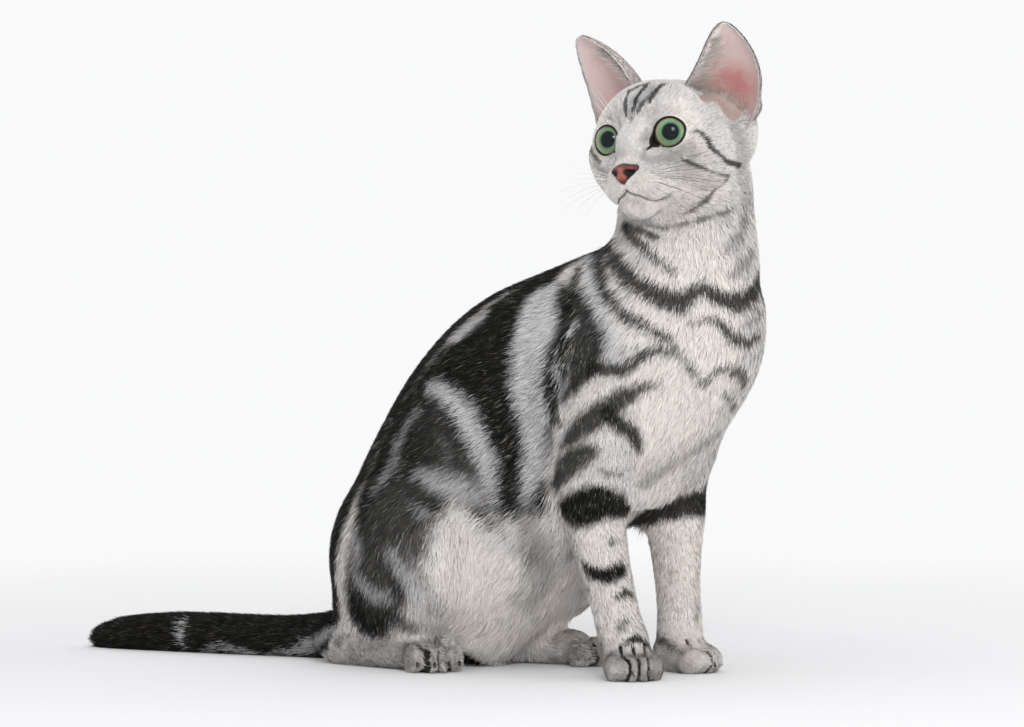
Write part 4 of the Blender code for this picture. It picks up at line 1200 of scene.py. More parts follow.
def coat_lie(points, normals):
    far = part_numbers(points)[1]
    total = np.zeros_like(points)
    for k, (name, rows) in enumerate(LINES.items()):
        ways = unit(np.gradient(rows[:, :3], axis=0))
        way = ways[closest_row(points, rows)]
        if name == "trunk":
            way = -way + np.array([0, 0.55, 0]) * fade(285, 250, points[:, 2])[:, None]
        if name.startswith("haunch"):
            centre = FLANK_POINT * (1 if "right" in name else -1, 1, 1)
            way = unit((points - centre) * (0.3, 1, 1)) + (0, 0, -0.5)
        total += unit(way) / (far[:, k:k + 1] ** 6 + 1e-3)
    total = unit(total)
    head = to_head(points)
    from_nose = unit(head - NOSE_TIP) + fade(5, -40, head[:, 1])[:, None] * (0, -0.2, -0.9)
    from_nose = unit(from_nose) @ HEAD_AXES.T
    share = fade(-4, 10, (points - NECK_CUT) @ NECK_WAY)
    share = share * (np.linalg.norm(head, axis=1) < 80)
    total = total * (1 - share[:, None]) + from_nose * share[:, None]
    for name, (place, heading) in PAWS.items():
        local = (points - place) @ spin("z", heading)
        on_paw = (np.abs(local[:, 0]) < 21) & (local[:, 2] < 27) & (local[:, 1] < 18)
        ahead = np.array([0, -1, -0.25]) @ spin("z", heading).T
        total = np.where(on_paw[:, None], ahead, total)
    return unit(total - normals * (total * normals).sum(1, keepdims=True))


skin_normals = point_normals(skin_points, coat_faces)
lie = coat_lie(skin_points, skin_normals)
lie = blurred(lie, edges, 14)
lie = unit(lie - skin_normals * (lie * skin_normals).sum(1, keepdims=True))
print("mean way of the hair", lie.mean(0).round(2))

# %% [markdown]
# ## Shader maths as Python
# A material is easier to read as a sum than as a web of nodes. This small class wraps a socket,
# so that adding two values adds a Math node. Colours go through Mix nodes, and one method makes
# any other node.

# %% Sums on sockets


class Value:
    """A node's output in a paint. Sums on it add Math nodes."""

    def __init__(self, paint, socket):
        self.paint, self.socket = paint, socket

    def sum(self, operation, *others):
        inputs = dict(enumerate((self, *others)))
        return self.paint.node("Math", {"operation": operation}, inputs)

    def __add__(self, other):
        return self.sum("ADD", other)

    def __sub__(self, other):
        return self.sum("SUBTRACT", other)

    def __rsub__(self, other):
        return (self * -1) + other

    def __mul__(self, other):
        return self.sum("MULTIPLY", other)

    def __truediv__(self, other):
        return self.sum("DIVIDE", other)

    def __pow__(self, other):
        return self.sum("POWER", other)

    __radd__, __rmul__ = __add__, __mul__

    def clamped(self):
        return self.sum("MAXIMUM", 0).sum("MINIMUM", 1)


class Paint:
    """A material with one Principled shader, mixed from values."""

    def __init__(self, name, **constants):
        self.material = bpy.data.materials.new(name)
        self.material.use_nodes = True
        self.tree = self.material.node_tree
        self.shader = self.tree.nodes["Principled BSDF"]
        for key, value in constants.items():
            self.shader.inputs[key.replace("_", " ")].default_value = value

    def node(self, kind, settings=None, inputs=None, output=0):
        """Any node: its type, its settings, which are set first, and its sockets' values."""
        made = self.tree.nodes.new("ShaderNode" + kind)
        for key, value in (settings or {}).items():
            if key == "stops":
                self.stops(made.color_ramp, value)
            else:
                setattr(made, key, value)
        for key, value in (inputs or {}).items():
            self.feed(made.inputs[key], value)
        return Value(self, made.outputs[output])

    def stops(self, ramp, stops):
        while len(ramp.elements) < len(stops):
            ramp.elements.new(0.5)
        for element, (place, colour) in zip(ramp.elements, stops):
            element.position, element.color = place, (*colour, 1)

    def feed(self, socket, value):
        if isinstance(value, Value):
            self.tree.links.new(value.socket, socket)
        elif isinstance(value, tuple) and socket.type == "RGBA":
            socket.default_value = (*value, 1)
        else:
            socket.default_value = value

    def stored(self, name):
        """A number that the mesh carries for each vertex."""
        return self.node("Attribute", {"attribute_name": name}, output="Fac")

    def place(self):
        return self.node("TexCoord", output="Object")

    def grain(self, size, detail=3, stretch=None):
        """Noise with features about size metres across."""
        at = self.place()
        if stretch:
            at = self.node("Mapping", {}, {"Vector": at, "Scale": stretch})
        inputs = {"Vector": at, "Scale": 1 / size, "Detail": detail}
        return self.node("TexNoise", {}, inputs)

    def mix(self, share, first, second):
        inputs = {0: share, 6: first, 7: second}
        return self.node("Mix", {"data_type": "RGBA"}, inputs, 2)

    def shaded(self, colour, value):
        """A colour made lighter or darker by a value."""
        vector = self.node("CombineXYZ", {}, {0: value, 1: value, 2: value})
        inputs = {0: colour, 1: vector}
        return self.node("VectorMath", {"operation": "MULTIPLY"}, inputs)

    def put(self, key, value):
        self.feed(self.shader.inputs[key], value)

    def bump(self, height, distance, strength=1.0):
        inputs = {"Height": height, "Distance": distance, "Strength": strength}
        self.put("Normal", self.node("Bump", {}, inputs))


print("paints can be mixed")

# %% [markdown]
# ## Fur colours
# Silver fur is a pale hair with a grey tip, white fur is warmer, and the charcoal of the bands is
# never a flat black: single hairs in it get a painted highlight, as if they caught the light. The
# skin and the tufts read the same stored markings, and each tuft adds a chance of its own.

# %% Fur paint
SILVER = (0.60, 0.595, 0.60)
WHITE = (0.85, 0.795, 0.745)
CHARCOAL = (0.0060, 0.0056, 0.0050)
TAN = (0.50, 0.28, 0.24)


def fur_paint(name, tufts):
    """Fur: the stored markings pick between silver, white and charcoal. On tufts each one is a
    little lighter or darker, and its root is in shade."""
    paint = Paint(name, Roughness=0.62, Specular_IOR_Level=0.05)
    dark, white, tan = (paint.stored(key) for key in ("dark", "white", "tan"))
    if tufts:
        chance, along = paint.stored("chance"), paint.stored("along")
    else:
        chance, along = paint.grain(0.0011, 2), paint.grain(0.004, 2)
    pale = paint.mix(white, SILVER, WHITE)
    pale = paint.mix(tan, pale, TAN)
    pale = paint.shaded(pale, 0.74 + 0.38 * chance)
    # painted highlight: a few single hairs of the charcoal are lightened, as if they caught the light
    painted_glint = chance * chance * chance * chance
    night = paint.shaded(CHARCOAL, 0.6 + 1.2 * chance + 9.0 * painted_glint)
    colour = paint.mix(dark, pale, night)
    # painted shade: each lock is darker towards its root, and the skin under the locks is evenly as dark
    # as the roots
    colour = paint.shaded(colour, (0.84 + 0.18 * along) if tufts else 0.86)
    paint.put("Base Color", colour)
    paint.put("Roughness", (0.5 + 0.2 * chance))
    if not tufts:
        paint.bump(paint.grain(0.0016, 4), 0.0008, 0.6)
    return paint


fur_on_skin = fur_paint("fur_on_skin", False)
skin = mesh_object("skin", skin_points, coat_faces)
for name, values in zip(("dark", "white", "tan"), skin_tones.T):
    set_values(skin, name, values)
skin.data.materials.append(fur_on_skin.material)
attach(skin, "root")
flesh = [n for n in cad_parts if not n.startswith(("ear", "eye", "nose"))]
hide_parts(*flesh)
print("skin", len(skin.data.polygons), "faces")

# %% [markdown]
# ## Ears
# An ear is a thin cupped sheet whose base wraps round into a funnel and whose tip is rounded. It
# is one function of height and of the angle across the cup, thickened inwards. The back is furred,
# the inside is bare pink skin with long pale hairs from the front margin.

# %% Ear sheets
EAR_BOWS = {"left": 6.5, "right": -5.0}
EAR_WRAP, EAR_CUP, EAR_DROP = 108, 16, 8
EAR_HALF_WIDTH, EAR_THICKNESS = 23.5, 2.0
EAR_ROWS, EAR_COLUMNS = 44, 41
# The sheet starts below the ear's root, so that it is sunk in the head
EAR_START = -0.18


def ear_sheet(side, u, a):
    """The ear's outer sheet. u goes up it to 1 and a across it from -1 in front to 1 behind:
    x = width(u) * sin(wrap * a), y = -cup(u) * cos(wrap * a), with the width falling as
    (1 - u**2.2)**0.68, and z = u * length, less a drop behind. A small fold stands out low behind."""
    length = np.linalg.norm(EAR_TIPS[side] - EAR_ROOT)
    rise = np.clip(u, 0, 1)
    taper = np.clip(1 - rise**2.2, 0, 1)**0.68 + 0.1 * (1 - rise)**3
    angle = np.radians(EAR_WRAP - 24 * rise) * a
    tuck = 1 - 1.3 * np.maximum(-u, 0)
    bow = EAR_BOWS[side] * np.sin(math.pi * rise)
    x = (EAR_HALF_WIDTH * taper + 1) * tuck * np.sin(angle) + bow
    y = -(EAR_CUP * taper * (1 - 0.5 * rise) + 1) * np.cos(angle)
    z = u * length - EAR_DROP * np.clip(x / EAR_HALF_WIDTH, 0, 1) * (1 - rise)**2
    fold = np.exp(-np.square((u - 0.16) / 0.09)) * fade(0.55, 0.85, a) * (1 - 0.5 * fade(0.9, 1, a))
    x = x + 2.2 * fold
    own = np.stack([x, y, z], -1) @ ear_frame(side).T + EAR_ROOT
    return own if side == "left" else own * MIRROR


def ear(side):
    """A closed shell: the sheet, the same sheet moved inwards, and strips that join their rims."""
    u = np.linspace(EAR_START, 1, EAR_ROWS)[:, None] + np.zeros(EAR_COLUMNS)
    a = np.sin(np.linspace(-1, 1, EAR_COLUMNS) * math.pi / 2)[None, :] + np.zeros((EAR_ROWS, 1))
    outer = ear_sheet(side, u, a)
    normal = unit(np.cross(np.gradient(outer, axis=0), np.gradient(outer, axis=1)))
    hollow = (EAR_ROOT + 14 * ear_frame(side)[:, 1]) * (1 if side == "left" else MIRROR)
    cup = np.sign((normal * (hollow - outer)).sum(-1).mean())
    rim = np.minimum(1, 0.35 + 2.2 * np.minimum(1 - np.abs(a), (1 - u) * 1.5))
    inner = outer + normal * (cup * EAR_THICKNESS * rim)[..., None]
    count = EAR_ROWS * EAR_COLUMNS
    points = from_head(np.vstack([outer.reshape(-1, 3), inner.reshape(-1, 3)]))
    obj = mesh_object(f"ear_{side}_shell", points, shell_faces(EAR_ROWS, EAR_COLUMNS))
    inside = np.repeat([0.0, 1.0], count)
    set_values(obj, "inside", inside)
    set_values(obj, "height", np.tile(u.ravel(), 2))
    set_values(obj, "across", np.tile(a.ravel(), 2))
    set_values(obj, "blood", np.full(2 * count, 1.0 if side == "left" else 0.25))
    return obj, from_head(outer), from_head(inner), -normal @ HEAD_AXES.T * cup


def ear_paint():
    """Pink skin inside, deeper where the blood shines through low down, pale towards the rim and
    in front, where dark specks of hair stand on it. The back is furred."""
    paint = Paint("ear_skin_paint", Roughness=0.55, Specular_IOR_Level=0.35, Subsurface_Weight=0.12)
    paint.shader.inputs["Subsurface Radius"].default_value = (0.012, 0.004, 0.003)
    inside, height, across = (paint.stored(key) for key in ("inside", "height", "across"))
    mottle = paint.grain(0.006, 4)
    low_down = (1 - (height - 0.30).sum("ABSOLUTE") * 3.2).clamped()
    deep = low_down * (1 - (across - 0.15).sum("ABSOLUTE") * 1.4).clamped()
    flushed = (deep * 1.3 * (0.5 + mottle) * paint.stored("blood")).clamped()
    skin_colour = paint.mix(flushed, (0.62, 0.47, 0.45), (0.52, 0.235, 0.22))
    edge = ((across.sum("ABSOLUTE") - 0.72) * 4).clamped()
    rim = (edge * 0.75 + (height - 0.72).sum("MAXIMUM", 0) * 1.6).clamped()
    skin_colour = paint.mix(rim, skin_colour, (0.62, 0.56, 0.54))
    front = (across * -2.4 - 0.75).clamped()
    pepper = ((paint.grain(0.0010, 2) - 0.52) * 9).clamped() * (across * -5 - 3.0).clamped()
    pale_front = paint.mix(pepper * 0.75, (0.80, 0.765, 0.74), (0.20, 0.15, 0.12))
    skin_colour = paint.mix(front, skin_colour, pale_front)
    fur = paint.mix(paint.grain(0.0012, 3), (0.24, 0.23, 0.225), (0.62, 0.60, 0.59))
    paint.put("Base Color", paint.mix(inside, fur, skin_colour))
    paint.bump(paint.grain(0.0025, 5), 0.0006, 0.35)
    return paint


ear_skin_paint = ear_paint()
ear_sheets = {}
for side in ("left", "right"):
    obj, *ear_sheets[side] = ear(side)
    obj.data.materials.append(ear_skin_paint.material)
    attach(obj, "root")
    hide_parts(f"ear_{side}")
print("ear points", EAR_ROWS * EAR_COLUMNS * 2, "each")

# %% [markdown]
# ## Eyes
# A cat's eye is nearly all iris. The clear cornea bulges over it, the iris slopes back to the
# pupil, and the pupil is an opening into the dark. So the eyeball is a turned profile with a real
# pit for the pupil, and a separate clear cap takes the highlights.

# %% Turned shapes for the eyes
# Each eye's own gaze in the head's frame: the left one looks aside, the right one nearly ahead
GAZES = {
    "left": unit(np.array([0.386, 0.92, 0.018])),
    "right": unit(np.array([-0.05, 0.99, 0.07])),
}
# Radius from the gaze and height along it, from the ball's back to the pit of the pupil
LIMBUS_RADIUS, PUPIL_RADIUS = 10.0, 5.7
BALL_PROFILE = [(0, -11.5), (5.0, -10.36), (8.6, -7.6), (11.0, -3.4), (11.5, 0), (11.05, 3.2),
                (10.3, 5.1), (10.0, 5.7)]
IRIS_PROFILE = [(9.6, 5.75), (8.6, 6.1), (7.4, 6.55), (6.4, 6.95), (5.7, 7.1)]
PUPIL_PROFILE = [(5.6, 6.9), (5.3, 6.2), (4.4, 5.2), (2.4, 4.6), (0, 4.5)]
EYE_SIDES = 64
# The cornea: the angle of its rim, the height it starts at, how far it rises and how thick it is
DOME_ANGLE, DOME_FOOT, DOME_RISE, DOME_THICK = 1.42, 5.7, 6.6, 0.35


def gaze_frame(gaze):
    """Axes of an eye in the head's frame as columns: outwards, up and along its gaze."""
    outward = unit(np.cross(gaze, (0, 0, 1.0)))
    return np.stack([outward, np.cross(outward, gaze), gaze], -1)


def turned(name, profile, sign, gaze):
    """A profile of radii and heights turned about the gaze: r*cos(t), r*sin(t) and height."""
    rows = np.array(profile, float)
    t = np.linspace(0, 2 * math.pi, EYE_SIDES, endpoint=False)
    ring = np.stack([rows[:, :1] * np.cos(t), rows[:, :1] * np.sin(t), rows[:, 1:] + 0 * t], -1)
    grid = ring @ gaze_frame(gaze).T + EYE_PLACE * (sign, 1, 1)
    points, faces = capped_tube(from_head(grid))
    radii, heights = (np.append(np.repeat(v, EYE_SIDES), [v[0], v[-1]]) for v in rows.T)
    turns = np.append(np.tile(t, len(rows)), [0, 0])
    obj = mesh_object(name, points, faces)
    set_values(obj, "radius", radii / LIMBUS_RADIUS)
    set_values(obj, "turn_cos", np.cos(turns) * (radii > 0))
    set_values(obj, "turn_sin", np.sin(turns) * (radii > 0))
    steps = np.append(np.repeat(np.linspace(0, 1, len(rows)), EYE_SIDES), [0, 1])
    set_values(obj, "outer_wall", steps > 0.5)
    set_values(obj, "ahead", heights / EYE_RADIUS)
    print(name, len(points), "points")
    return obj


def eyeball_paint():
    """The iris: yellow green at its rim, deeper blue green inwards, with fine rays from the pupil
    and a dark ring outside. The pupil is blue black. Behind the rim the ball is dark."""
    paint = Paint("iris_and_pupil", Roughness=0.5, Specular_IOR_Level=0.0)
    radius, ahead = paint.stored("radius"), paint.stored("ahead")
    turns = {0: paint.stored("turn_cos") * 9, 1: paint.stored("turn_sin") * 9, 2: radius * 2.2}
    turn = paint.node("CombineXYZ", {}, turns)
    rays = paint.node("TexNoise", {}, {"Vector": turn, "Scale": 1.7, "Detail": 5, "Roughness": 0.65})
    stops = [(0.0, (0.05, 0.15, 0.10)), (0.28, (0.16, 0.29, 0.17)), (0.6, (0.38, 0.47, 0.25)),
             (1.0, (0.58, 0.61, 0.36))]
    place = ((radius - PUPIL_RADIUS / LIMBUS_RADIUS) / (1 - PUPIL_RADIUS / LIMBUS_RADIUS)).clamped()
    iris = paint.node("ValToRGB", {"stops": stops}, {0: (place + (rays - 0.5) * 0.35).clamped()})
    iris = paint.shaded(iris, 0.72 + 0.62 * rays)
    iris = paint.mix(((radius - 0.965) * 25).clamped() * 0.8, iris, (0.02, 0.03, 0.025))
    behind = ((ahead - 0.50) * -40).clamped()
    iris = paint.mix(behind, iris, (0.10, 0.08, 0.07))
    pupil = ((radius - 0.565) * -60).clamped() * ((ahead - 0.3) * 20).clamped()
    paint.put("Base Color", paint.mix(pupil, iris, (0.0015, 0.004, 0.006)))
    paint.bump(rays, 0.0003, 0.5)
    return paint


def cornea_paint():
    """A clear wet cap: white metal that is only there as much as a wet surface reflects."""
    paint = Paint("cornea_clear", Roughness=0.13, Metallic=1.0)
    paint.shader.inputs["Base Color"].default_value = (1, 1, 1, 1)
    paint.put("Alpha", paint.node("Fresnel", {}, {"IOR": 1.38}) * 0.85 * paint.stored("outer_wall"))
    return paint


eyeball, cornea = eyeball_paint(), cornea_paint()
slope = np.linspace(DOME_ANGLE, 0, 14)
dome_radii = LIMBUS_RADIUS * np.sin(slope) / math.sin(DOME_ANGLE)
dome_rise = (np.cos(slope) - math.cos(DOME_ANGLE)) / (1 - math.cos(DOME_ANGLE))
dome = list(zip(dome_radii, DOME_FOOT + DOME_RISE * dome_rise))
underside = [(r * 0.97, height - DOME_THICK) for r, height in reversed(dome)]
cap_profile = [(0, underside[0][1])] + underside + dome
for side, sign in (("left", 1), ("right", -1)):
    ball = turned(f"eyeball_{side}", BALL_PROFILE + IRIS_PROFILE + PUPIL_PROFILE, sign, GAZES[side])
    ball.data.materials.append(eyeball.material)
    cap = turned(f"cornea_{side}", cap_profile, sign, GAZES[side])
    cap.data.materials.append(cornea.material)
    for obj in (ball, cap):
        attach(obj, "root")
    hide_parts(f"eye_{side}")

# %% [markdown]
# ## Rims of the lids
# The edge of a cat's lids is bare, dark and moist, and it draws the eye's almond shape. It is a
# thin round section carried along the opening's own curve, so that it can't come apart from it.

# %% Lids
LID_SIDES, LID_ROUND = 96, 10


def lid_rim(side, sign):
    """The bare dark rim of both lids: a round section carried along the opening's own curve, on a
    sphere just outside the eyeball. It is thickest at the inner corner."""
    around = np.linspace(0, 2 * math.pi, LID_SIDES, endpoint=False)
    inner = np.exp(-np.square((around - math.radians(206)) / 0.40))
    lower = np.exp(-np.square((around - math.radians(270)) / 0.9))
    thick = 0.55 + 0.35 * inner - 0.12 * lower
    radius = opening_radius(around)
    axes = eye_axes(sign)
    path = (np.cos(around) * radius)[:, None] * axes[0]
    path = path + (np.sin(around) * radius)[:, None] * axes[1]
    path = path + (lid_height(radius) - 0.1)[:, None] * axes[2]
    along = unit(np.roll(path, -1, axis=0) - np.roll(path, 1, axis=0))
    aside = unit(np.cross(along, axes[2]))
    p = np.linspace(0, 2 * math.pi, LID_ROUND, endpoint=False)[None, :, None]
    rings = np.cos(p) * aside[:, None] * 1.25 + np.sin(p) * axes[2]
    rings = path[:, None] + rings * thick[:, None, None]
    points = from_head(rings + EYE_PLACE * (sign, 1, 1)).reshape(-1, 3)
    faces = np.array(sheet_faces(LID_SIDES + 1, LID_ROUND, wrap=True)) % len(points)
    return mesh_object(f"lid_rim_{side}", points, faces.tolist())


lid_paint = Paint("lid_rim_skin", Roughness=0.34, Specular_IOR_Level=0.12)
lid_colour = lid_paint.mix(lid_paint.grain(0.001, 3), (0.010, 0.008, 0.008), (0.035, 0.026, 0.024))
lid_paint.put("Base Color", lid_colour)
lid_paint.bump(lid_paint.grain(0.0007, 3), 0.0002, 0.4)
for side, sign in (("left", 1), ("right", -1)):
    rim = lid_rim(side, sign)
    rim.data.materials.append(lid_paint.material)
    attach(rim, "root")
    print("lid rim", side, len(rim.data.vertices), "points")

# %% [markdown]
# ## Nose leather
# The bare nose is a small pad, broad above and drawn in below to the groove of the lip, with a
# comma-shaped nostril on each side. It is one sheet over the muzzle's own surface, raised in the
# middle and hollowed at the nostrils, brick red with a dark margin, and painted shade darkens the nostrils
# nearly to black.

# %% Nose
NOSE_ROWS, NOSE_COLUMNS = 44, 57
v, u = np.meshgrid(np.linspace(0, 1, NOSE_ROWS), np.linspace(-1, 1, NOSE_COLUMNS), indexing="ij")
nose_x = u * nose_width(v)
nose_z = NOSE_TOP + (NOSE_LOW - NOSE_TOP) * v
nose_z = nose_z + 1.4 * np.cos(u * math.pi / 2) * (1 - v) - 0.8 * np.abs(u) * (1 - v)
starts = np.stack([nose_x, np.full_like(nose_x, 34.0), nose_z], -1).reshape(-1, 3)
ahead = np.tile([0.0, 1.0, 0.0], (starts.shape[0], 1))
nose_y = 34 + head_reach(starts, ahead, 0, 40).reshape(u.shape)
margin = np.minimum(np.minimum(1 - np.abs(u), v * 1.3), (1 - v) * 1.1)
raised = 1.4 * fade(0, 0.3, margin) - 0.7 * (1 - fade(0, 0.1, margin))
aside = np.abs(nose_x)
nostril_up = (nose_z + 20.6 + 0.3 * (aside - 5.8)) / 2.3
nostril = np.exp(-np.square(np.hypot((aside - 5.8) / 3.3, nostril_up)))
slit_out = np.exp(-np.square((nose_z + 19.6 + 0.5 * (aside - 8)) / 0.9)) * fade(5.5, 7.5, aside) * 0.8
middle_groove = np.exp(-np.square(nose_x / 0.55)) * fade(0.35, 0.6, v)
wing = np.exp(-np.square((aside - 8.0) / 1.8) - np.square((nose_z + 17.6) / 2.2))
tip = np.exp(-np.square(nose_x / 4.5) - np.square((nose_z + 18.5) / 4.0))
nose_y = nose_y + raised + 0.9 * tip + 0.8 * wing - 3.8 * nostril - 1.5 * slit_out - 0.8 * middle_groove
front = np.stack([nose_x, nose_y, nose_z], -1)
back = front - (0, 3.2, 0)
back[..., 1] = np.minimum(back[..., 1], nose_y.min(1, keepdims=True) - 0.5)
nose_points = from_head(np.vstack([front.reshape(-1, 3), back.reshape(-1, 3)]))
nose = mesh_object("nose_leather", nose_points, shell_faces(NOSE_ROWS, NOSE_COLUMNS))
set_values(nose, "margin", np.tile(margin.ravel(), 2))
set_values(nose, "nostril", np.tile(np.maximum(nostril, 0.8 * slit_out).ravel(), 2))
nose_paint = Paint("nose_leather_skin", Roughness=0.42, Specular_IOR_Level=0.22)
edge_share = (nose_paint.stored("margin") * -3.4 + 1.45).clamped()
pebbles = nose_paint.node("TexVoronoi", {}, {"Vector": nose_paint.place(), "Scale": 2600})
brick = nose_paint.mix(nose_paint.grain(0.003, 3), (0.25, 0.065, 0.048), (0.40, 0.135, 0.10))
# painted shade: the nostrils and the slits beside them are darkened nearly to black; the dark margin is
# the leather's own colour
dark_share = (edge_share * 0.9 + nose_paint.stored("nostril") * 3.2 - 0.2).clamped()
nose_paint.put("Base Color", nose_paint.mix(dark_share, brick, (0.010, 0.006, 0.006)))
nose_paint.bump(pebbles, 0.0003, 0.45)
nose.data.materials.append(nose_paint.material)
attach(nose, "root")
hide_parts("nose")
print("nose", len(nose.data.vertices), "points")

# %% [markdown]
# ## Whiskers
# A whisker is a stiff tapered hair on a slow curve. Each one is a thin tube on a path that starts
# in the whisker pad and sweeps back and down, as a tube takes light like a real hair and a flat
# strip doesn't. A few stand over the eyes as well.

# %% Whiskers
# Where each starts on the left of the head (left, up), where it points and its length
WHISKER_ROWS = [
    ((15.0, -19.5), (0.80, 0.10, 0.16), 46), ((18.0, -20.5), (0.84, -0.10, 0.10), 50),
    ((20.5, -21.5), (0.82, -0.28, 0.05), 44), ((14.5, -22.5), (0.84, 0.08, -0.04), 50),
    ((18.0, -23.5), (0.88, -0.10, -0.10), 54), ((21.0, -24.5), (0.84, -0.30, -0.14), 46),
    ((14.0, -25.5), (0.82, 0.10, -0.24), 44), ((17.5, -26.5), (0.84, -0.06, -0.32), 48),
    ((20.5, -27.5), (0.80, -0.24, -0.36), 40), ((15.5, -29.0), (0.74, 0.06, -0.50), 34),
    ((18.5, -30.0), (0.74, -0.10, -0.56), 32),
]
BROW_WHISKERS = [
    ((17.0, 22.5), (0.42, 0.30, 0.80), 30), ((20.0, 23.0), (0.55, 0.18, 0.78), 34),
    ((23.0, 22.0), (0.68, 0.08, 0.70), 26),
]
WHISKER_THICKNESS = 0.42


def hair_tube(start, way, length, thickness, sag):
    """A tapered tube: radius = thickness/2 * (1.02 - t)**0.7 on start + way*length*t, with a sag
    that grows as t**2."""
    t = np.linspace(0, 1, 22)[:, None]
    path = start + way * length * t + np.array([0, -0.35, -1.0]) * sag * t**2
    along = unit(np.gradient(path, axis=0))
    across = unit(np.cross(along, (0.1, 0.2, 1.0)))
    over = np.cross(along, across)
    p = np.linspace(0, 2 * math.pi, 6, endpoint=False)
    radius = thickness / 2 * (1.02 - t)**0.7
    ring = np.cos(p)[None, :, None] * across[:, None] + np.sin(p)[None, :, None] * over[:, None]
    return capped_tube(from_head(path[:, None] + radius[:, :, None] * ring))


def joined(name, tubes, paint):
    """All tubes, as points and faces, in one object that rides on the body."""
    points, faces, start = [], [], 0
    for own_points, own_faces in tubes:
        points.append(own_points)
        faces += [[k + start for k in face] for face in own_faces]
        start += len(own_points)
    obj = mesh_object(name, np.vstack(points), faces)
    obj.data.materials.append(paint.material)
    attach(obj, "root")
    return obj


whisker_paint = Paint("whisker_hair", Roughness=0.3, Specular_IOR_Level=0.5)
# The near whiskers change from black to white along their length
pale_share = ((whisker_paint.grain(0.02, 2) - 0.42) * 6).clamped()
two_tone = whisker_paint.mix(pale_share, (0.05, 0.045, 0.04), (0.86, 0.84, 0.80))
whisker_paint.put("Base Color", two_tone)
pale_whisker = Paint("pale_whisker_hair", Roughness=0.3, Specular_IOR_Level=0.5)
ivory = pale_whisker.mix(pale_whisker.grain(0.02, 2), (0.55, 0.54, 0.52), (0.92, 0.91, 0.88))
pale_whisker.put("Base Color", ivory)
for side, sign in (("left", 1), ("right", -1)):
    tubes = []
    for (x, z), way, length in WHISKER_ROWS + BROW_WHISKERS:
        start = np.array([[x * sign, 20.0, z]])
        reach = head_reach(start, np.array([[0.0, 1.0, 0.0]]), 0, 45)
        start = start[0] + (0, reach[0] - 1.6, 0)
        way = unit(np.array(way) * (sign, 1, 1) + (0, 0, 0.22 if sign < 0 else 0.05))
        reach = length * (1 if sign > 0 else 0.85)
        tubes.append(hair_tube(start, way, reach, WHISKER_THICKNESS, 0.16 * length))
    whiskers = joined(f"whiskers_{side}", tubes, whisker_paint if sign > 0 else pale_whisker)
    print(whiskers.name, len(tubes))

# %% [markdown]
# ## Claws
# A cat's claw is a thin hook that stays drawn in between the hairs of a toe. One function bends a
# tapering row of rings ahead and down, and every toe gets one, longer on the nearer hind foot.

# %% Claws
# How far along the claw, and its radius there
CLAW_PROFILE = [(0.0, 2.0), (0.35, 1.5), (0.7, 0.8), (1.0, 0.15)]
CLAW_UP = 6.4
claw_paint = Paint("claw_horn", Roughness=0.28, Specular_IOR_Level=0.5)
horn = claw_paint.mix(claw_paint.grain(0.002, 2), (0.012, 0.010, 0.010), (0.05, 0.04, 0.035))
claw_paint.put("Base Color", horn)
claw_paint.bump(claw_paint.grain(0.0006, 2, (1, 1, 4)), 0.0001, 0.3)


def claw(place, heading, x, y, z, length):
    """A hook: rings whose radius falls along a quarter turn that bends ahead and down."""
    t = np.linspace(0, 1, 9)[:, None]
    bend = t * 1.25
    down = 1.6 * np.cos(bend) - 1.6 - 0.35 * length * t**2
    path = np.hstack([x + 0 * t, y - length * np.sin(bend), z + down])
    p = np.linspace(0, 2 * math.pi, 8, endpoint=False)
    radius = np.interp(t[:, 0], *np.array(CLAW_PROFILE).T)[:, None]
    rings = path[:, None] + np.stack([radius * np.cos(p) * 0.62, 0 * radius * p, radius * np.sin(p)], -1)
    return capped_tube(rings @ spin("z", heading).T + place)


for name, (place, heading) in PAWS.items():
    rows = FORE_TOES if name.startswith("fore") else HIND_TOES
    shown, ahead = (3.6, 8.6) if name == "hindpaw_right" else (1.4, 7.6)
    tubes = [claw(place, heading, x + 0.6, y - ahead, CLAW_UP, shown) for x, y in rows]
    claws = joined(f"claws_{name}", tubes, claw_paint)
print("claws ready")

# %% [markdown]
# ## The coat as thin locks
# Real fur is far too many hairs, but a short coat shows as small overlapping locks. Each lock here
# is a blade of three triangles: a broad root, a bend and a tip that lies along the body. Where
# the body curves away under a lock, the lock bends with it.

# %% How long, wide and close the locks are
MM = 0.001 / UNIT
# For each part: length and width in mm, and how many stand on a square mm
COATS = {
    "trunk": (10.5, 0.52, 1.62), "brisket": (9.5, 0.50, 1.9), "belly": (13.0, 0.52, 1.6),
    "tail": (9.5, 0.48, 2.0), "haunch": (11.5, 0.50, 1.7), "foreleg": (5.5, 0.40, 2.4),
    "hindfoot": (4.0, 0.40, 3.0), "head": (4.2, 0.34, 2.8), "forepaw": (3.0, 0.36, 3.8),
}
COAT_SHARE = 1.0


def curving(points, normals, ways):
    """How fast the surface falls away along each point's way: the best fit of the normal's change
    over the step, both measured along the way, on all edges that leave the point."""
    a, b = np.vstack([edges, edges[:, ::-1]]).T
    step = points[b] - points[a]
    run = (step * ways[a]).sum(1)
    turn = ((normals[b] - normals[a]) * ways[a]).sum(1)
    fit = np.bincount(a, run * turn, len(points)) / (np.bincount(a, run * run, len(points)) + 1e-3)
    return np.clip(fit, -0.03, 0.06)


coat_sizes = np.array([COATS[name.split("_")[0]] for name in NAMES])
coat_sizes = blurred(coat_sizes[part], edges, 10)
snout = np.linalg.norm(own - (0, 56, -21), axis=1)
on_face = (part == NAMES.index("head")) * fade(70, 12, snout)
coat_sizes[:, 0] *= 1 - 0.55 * on_face
coat_sizes[:, 1] *= 1 - 0.2 * on_face
coat_sizes[:, 2] *= 1 + 0.5 * on_face
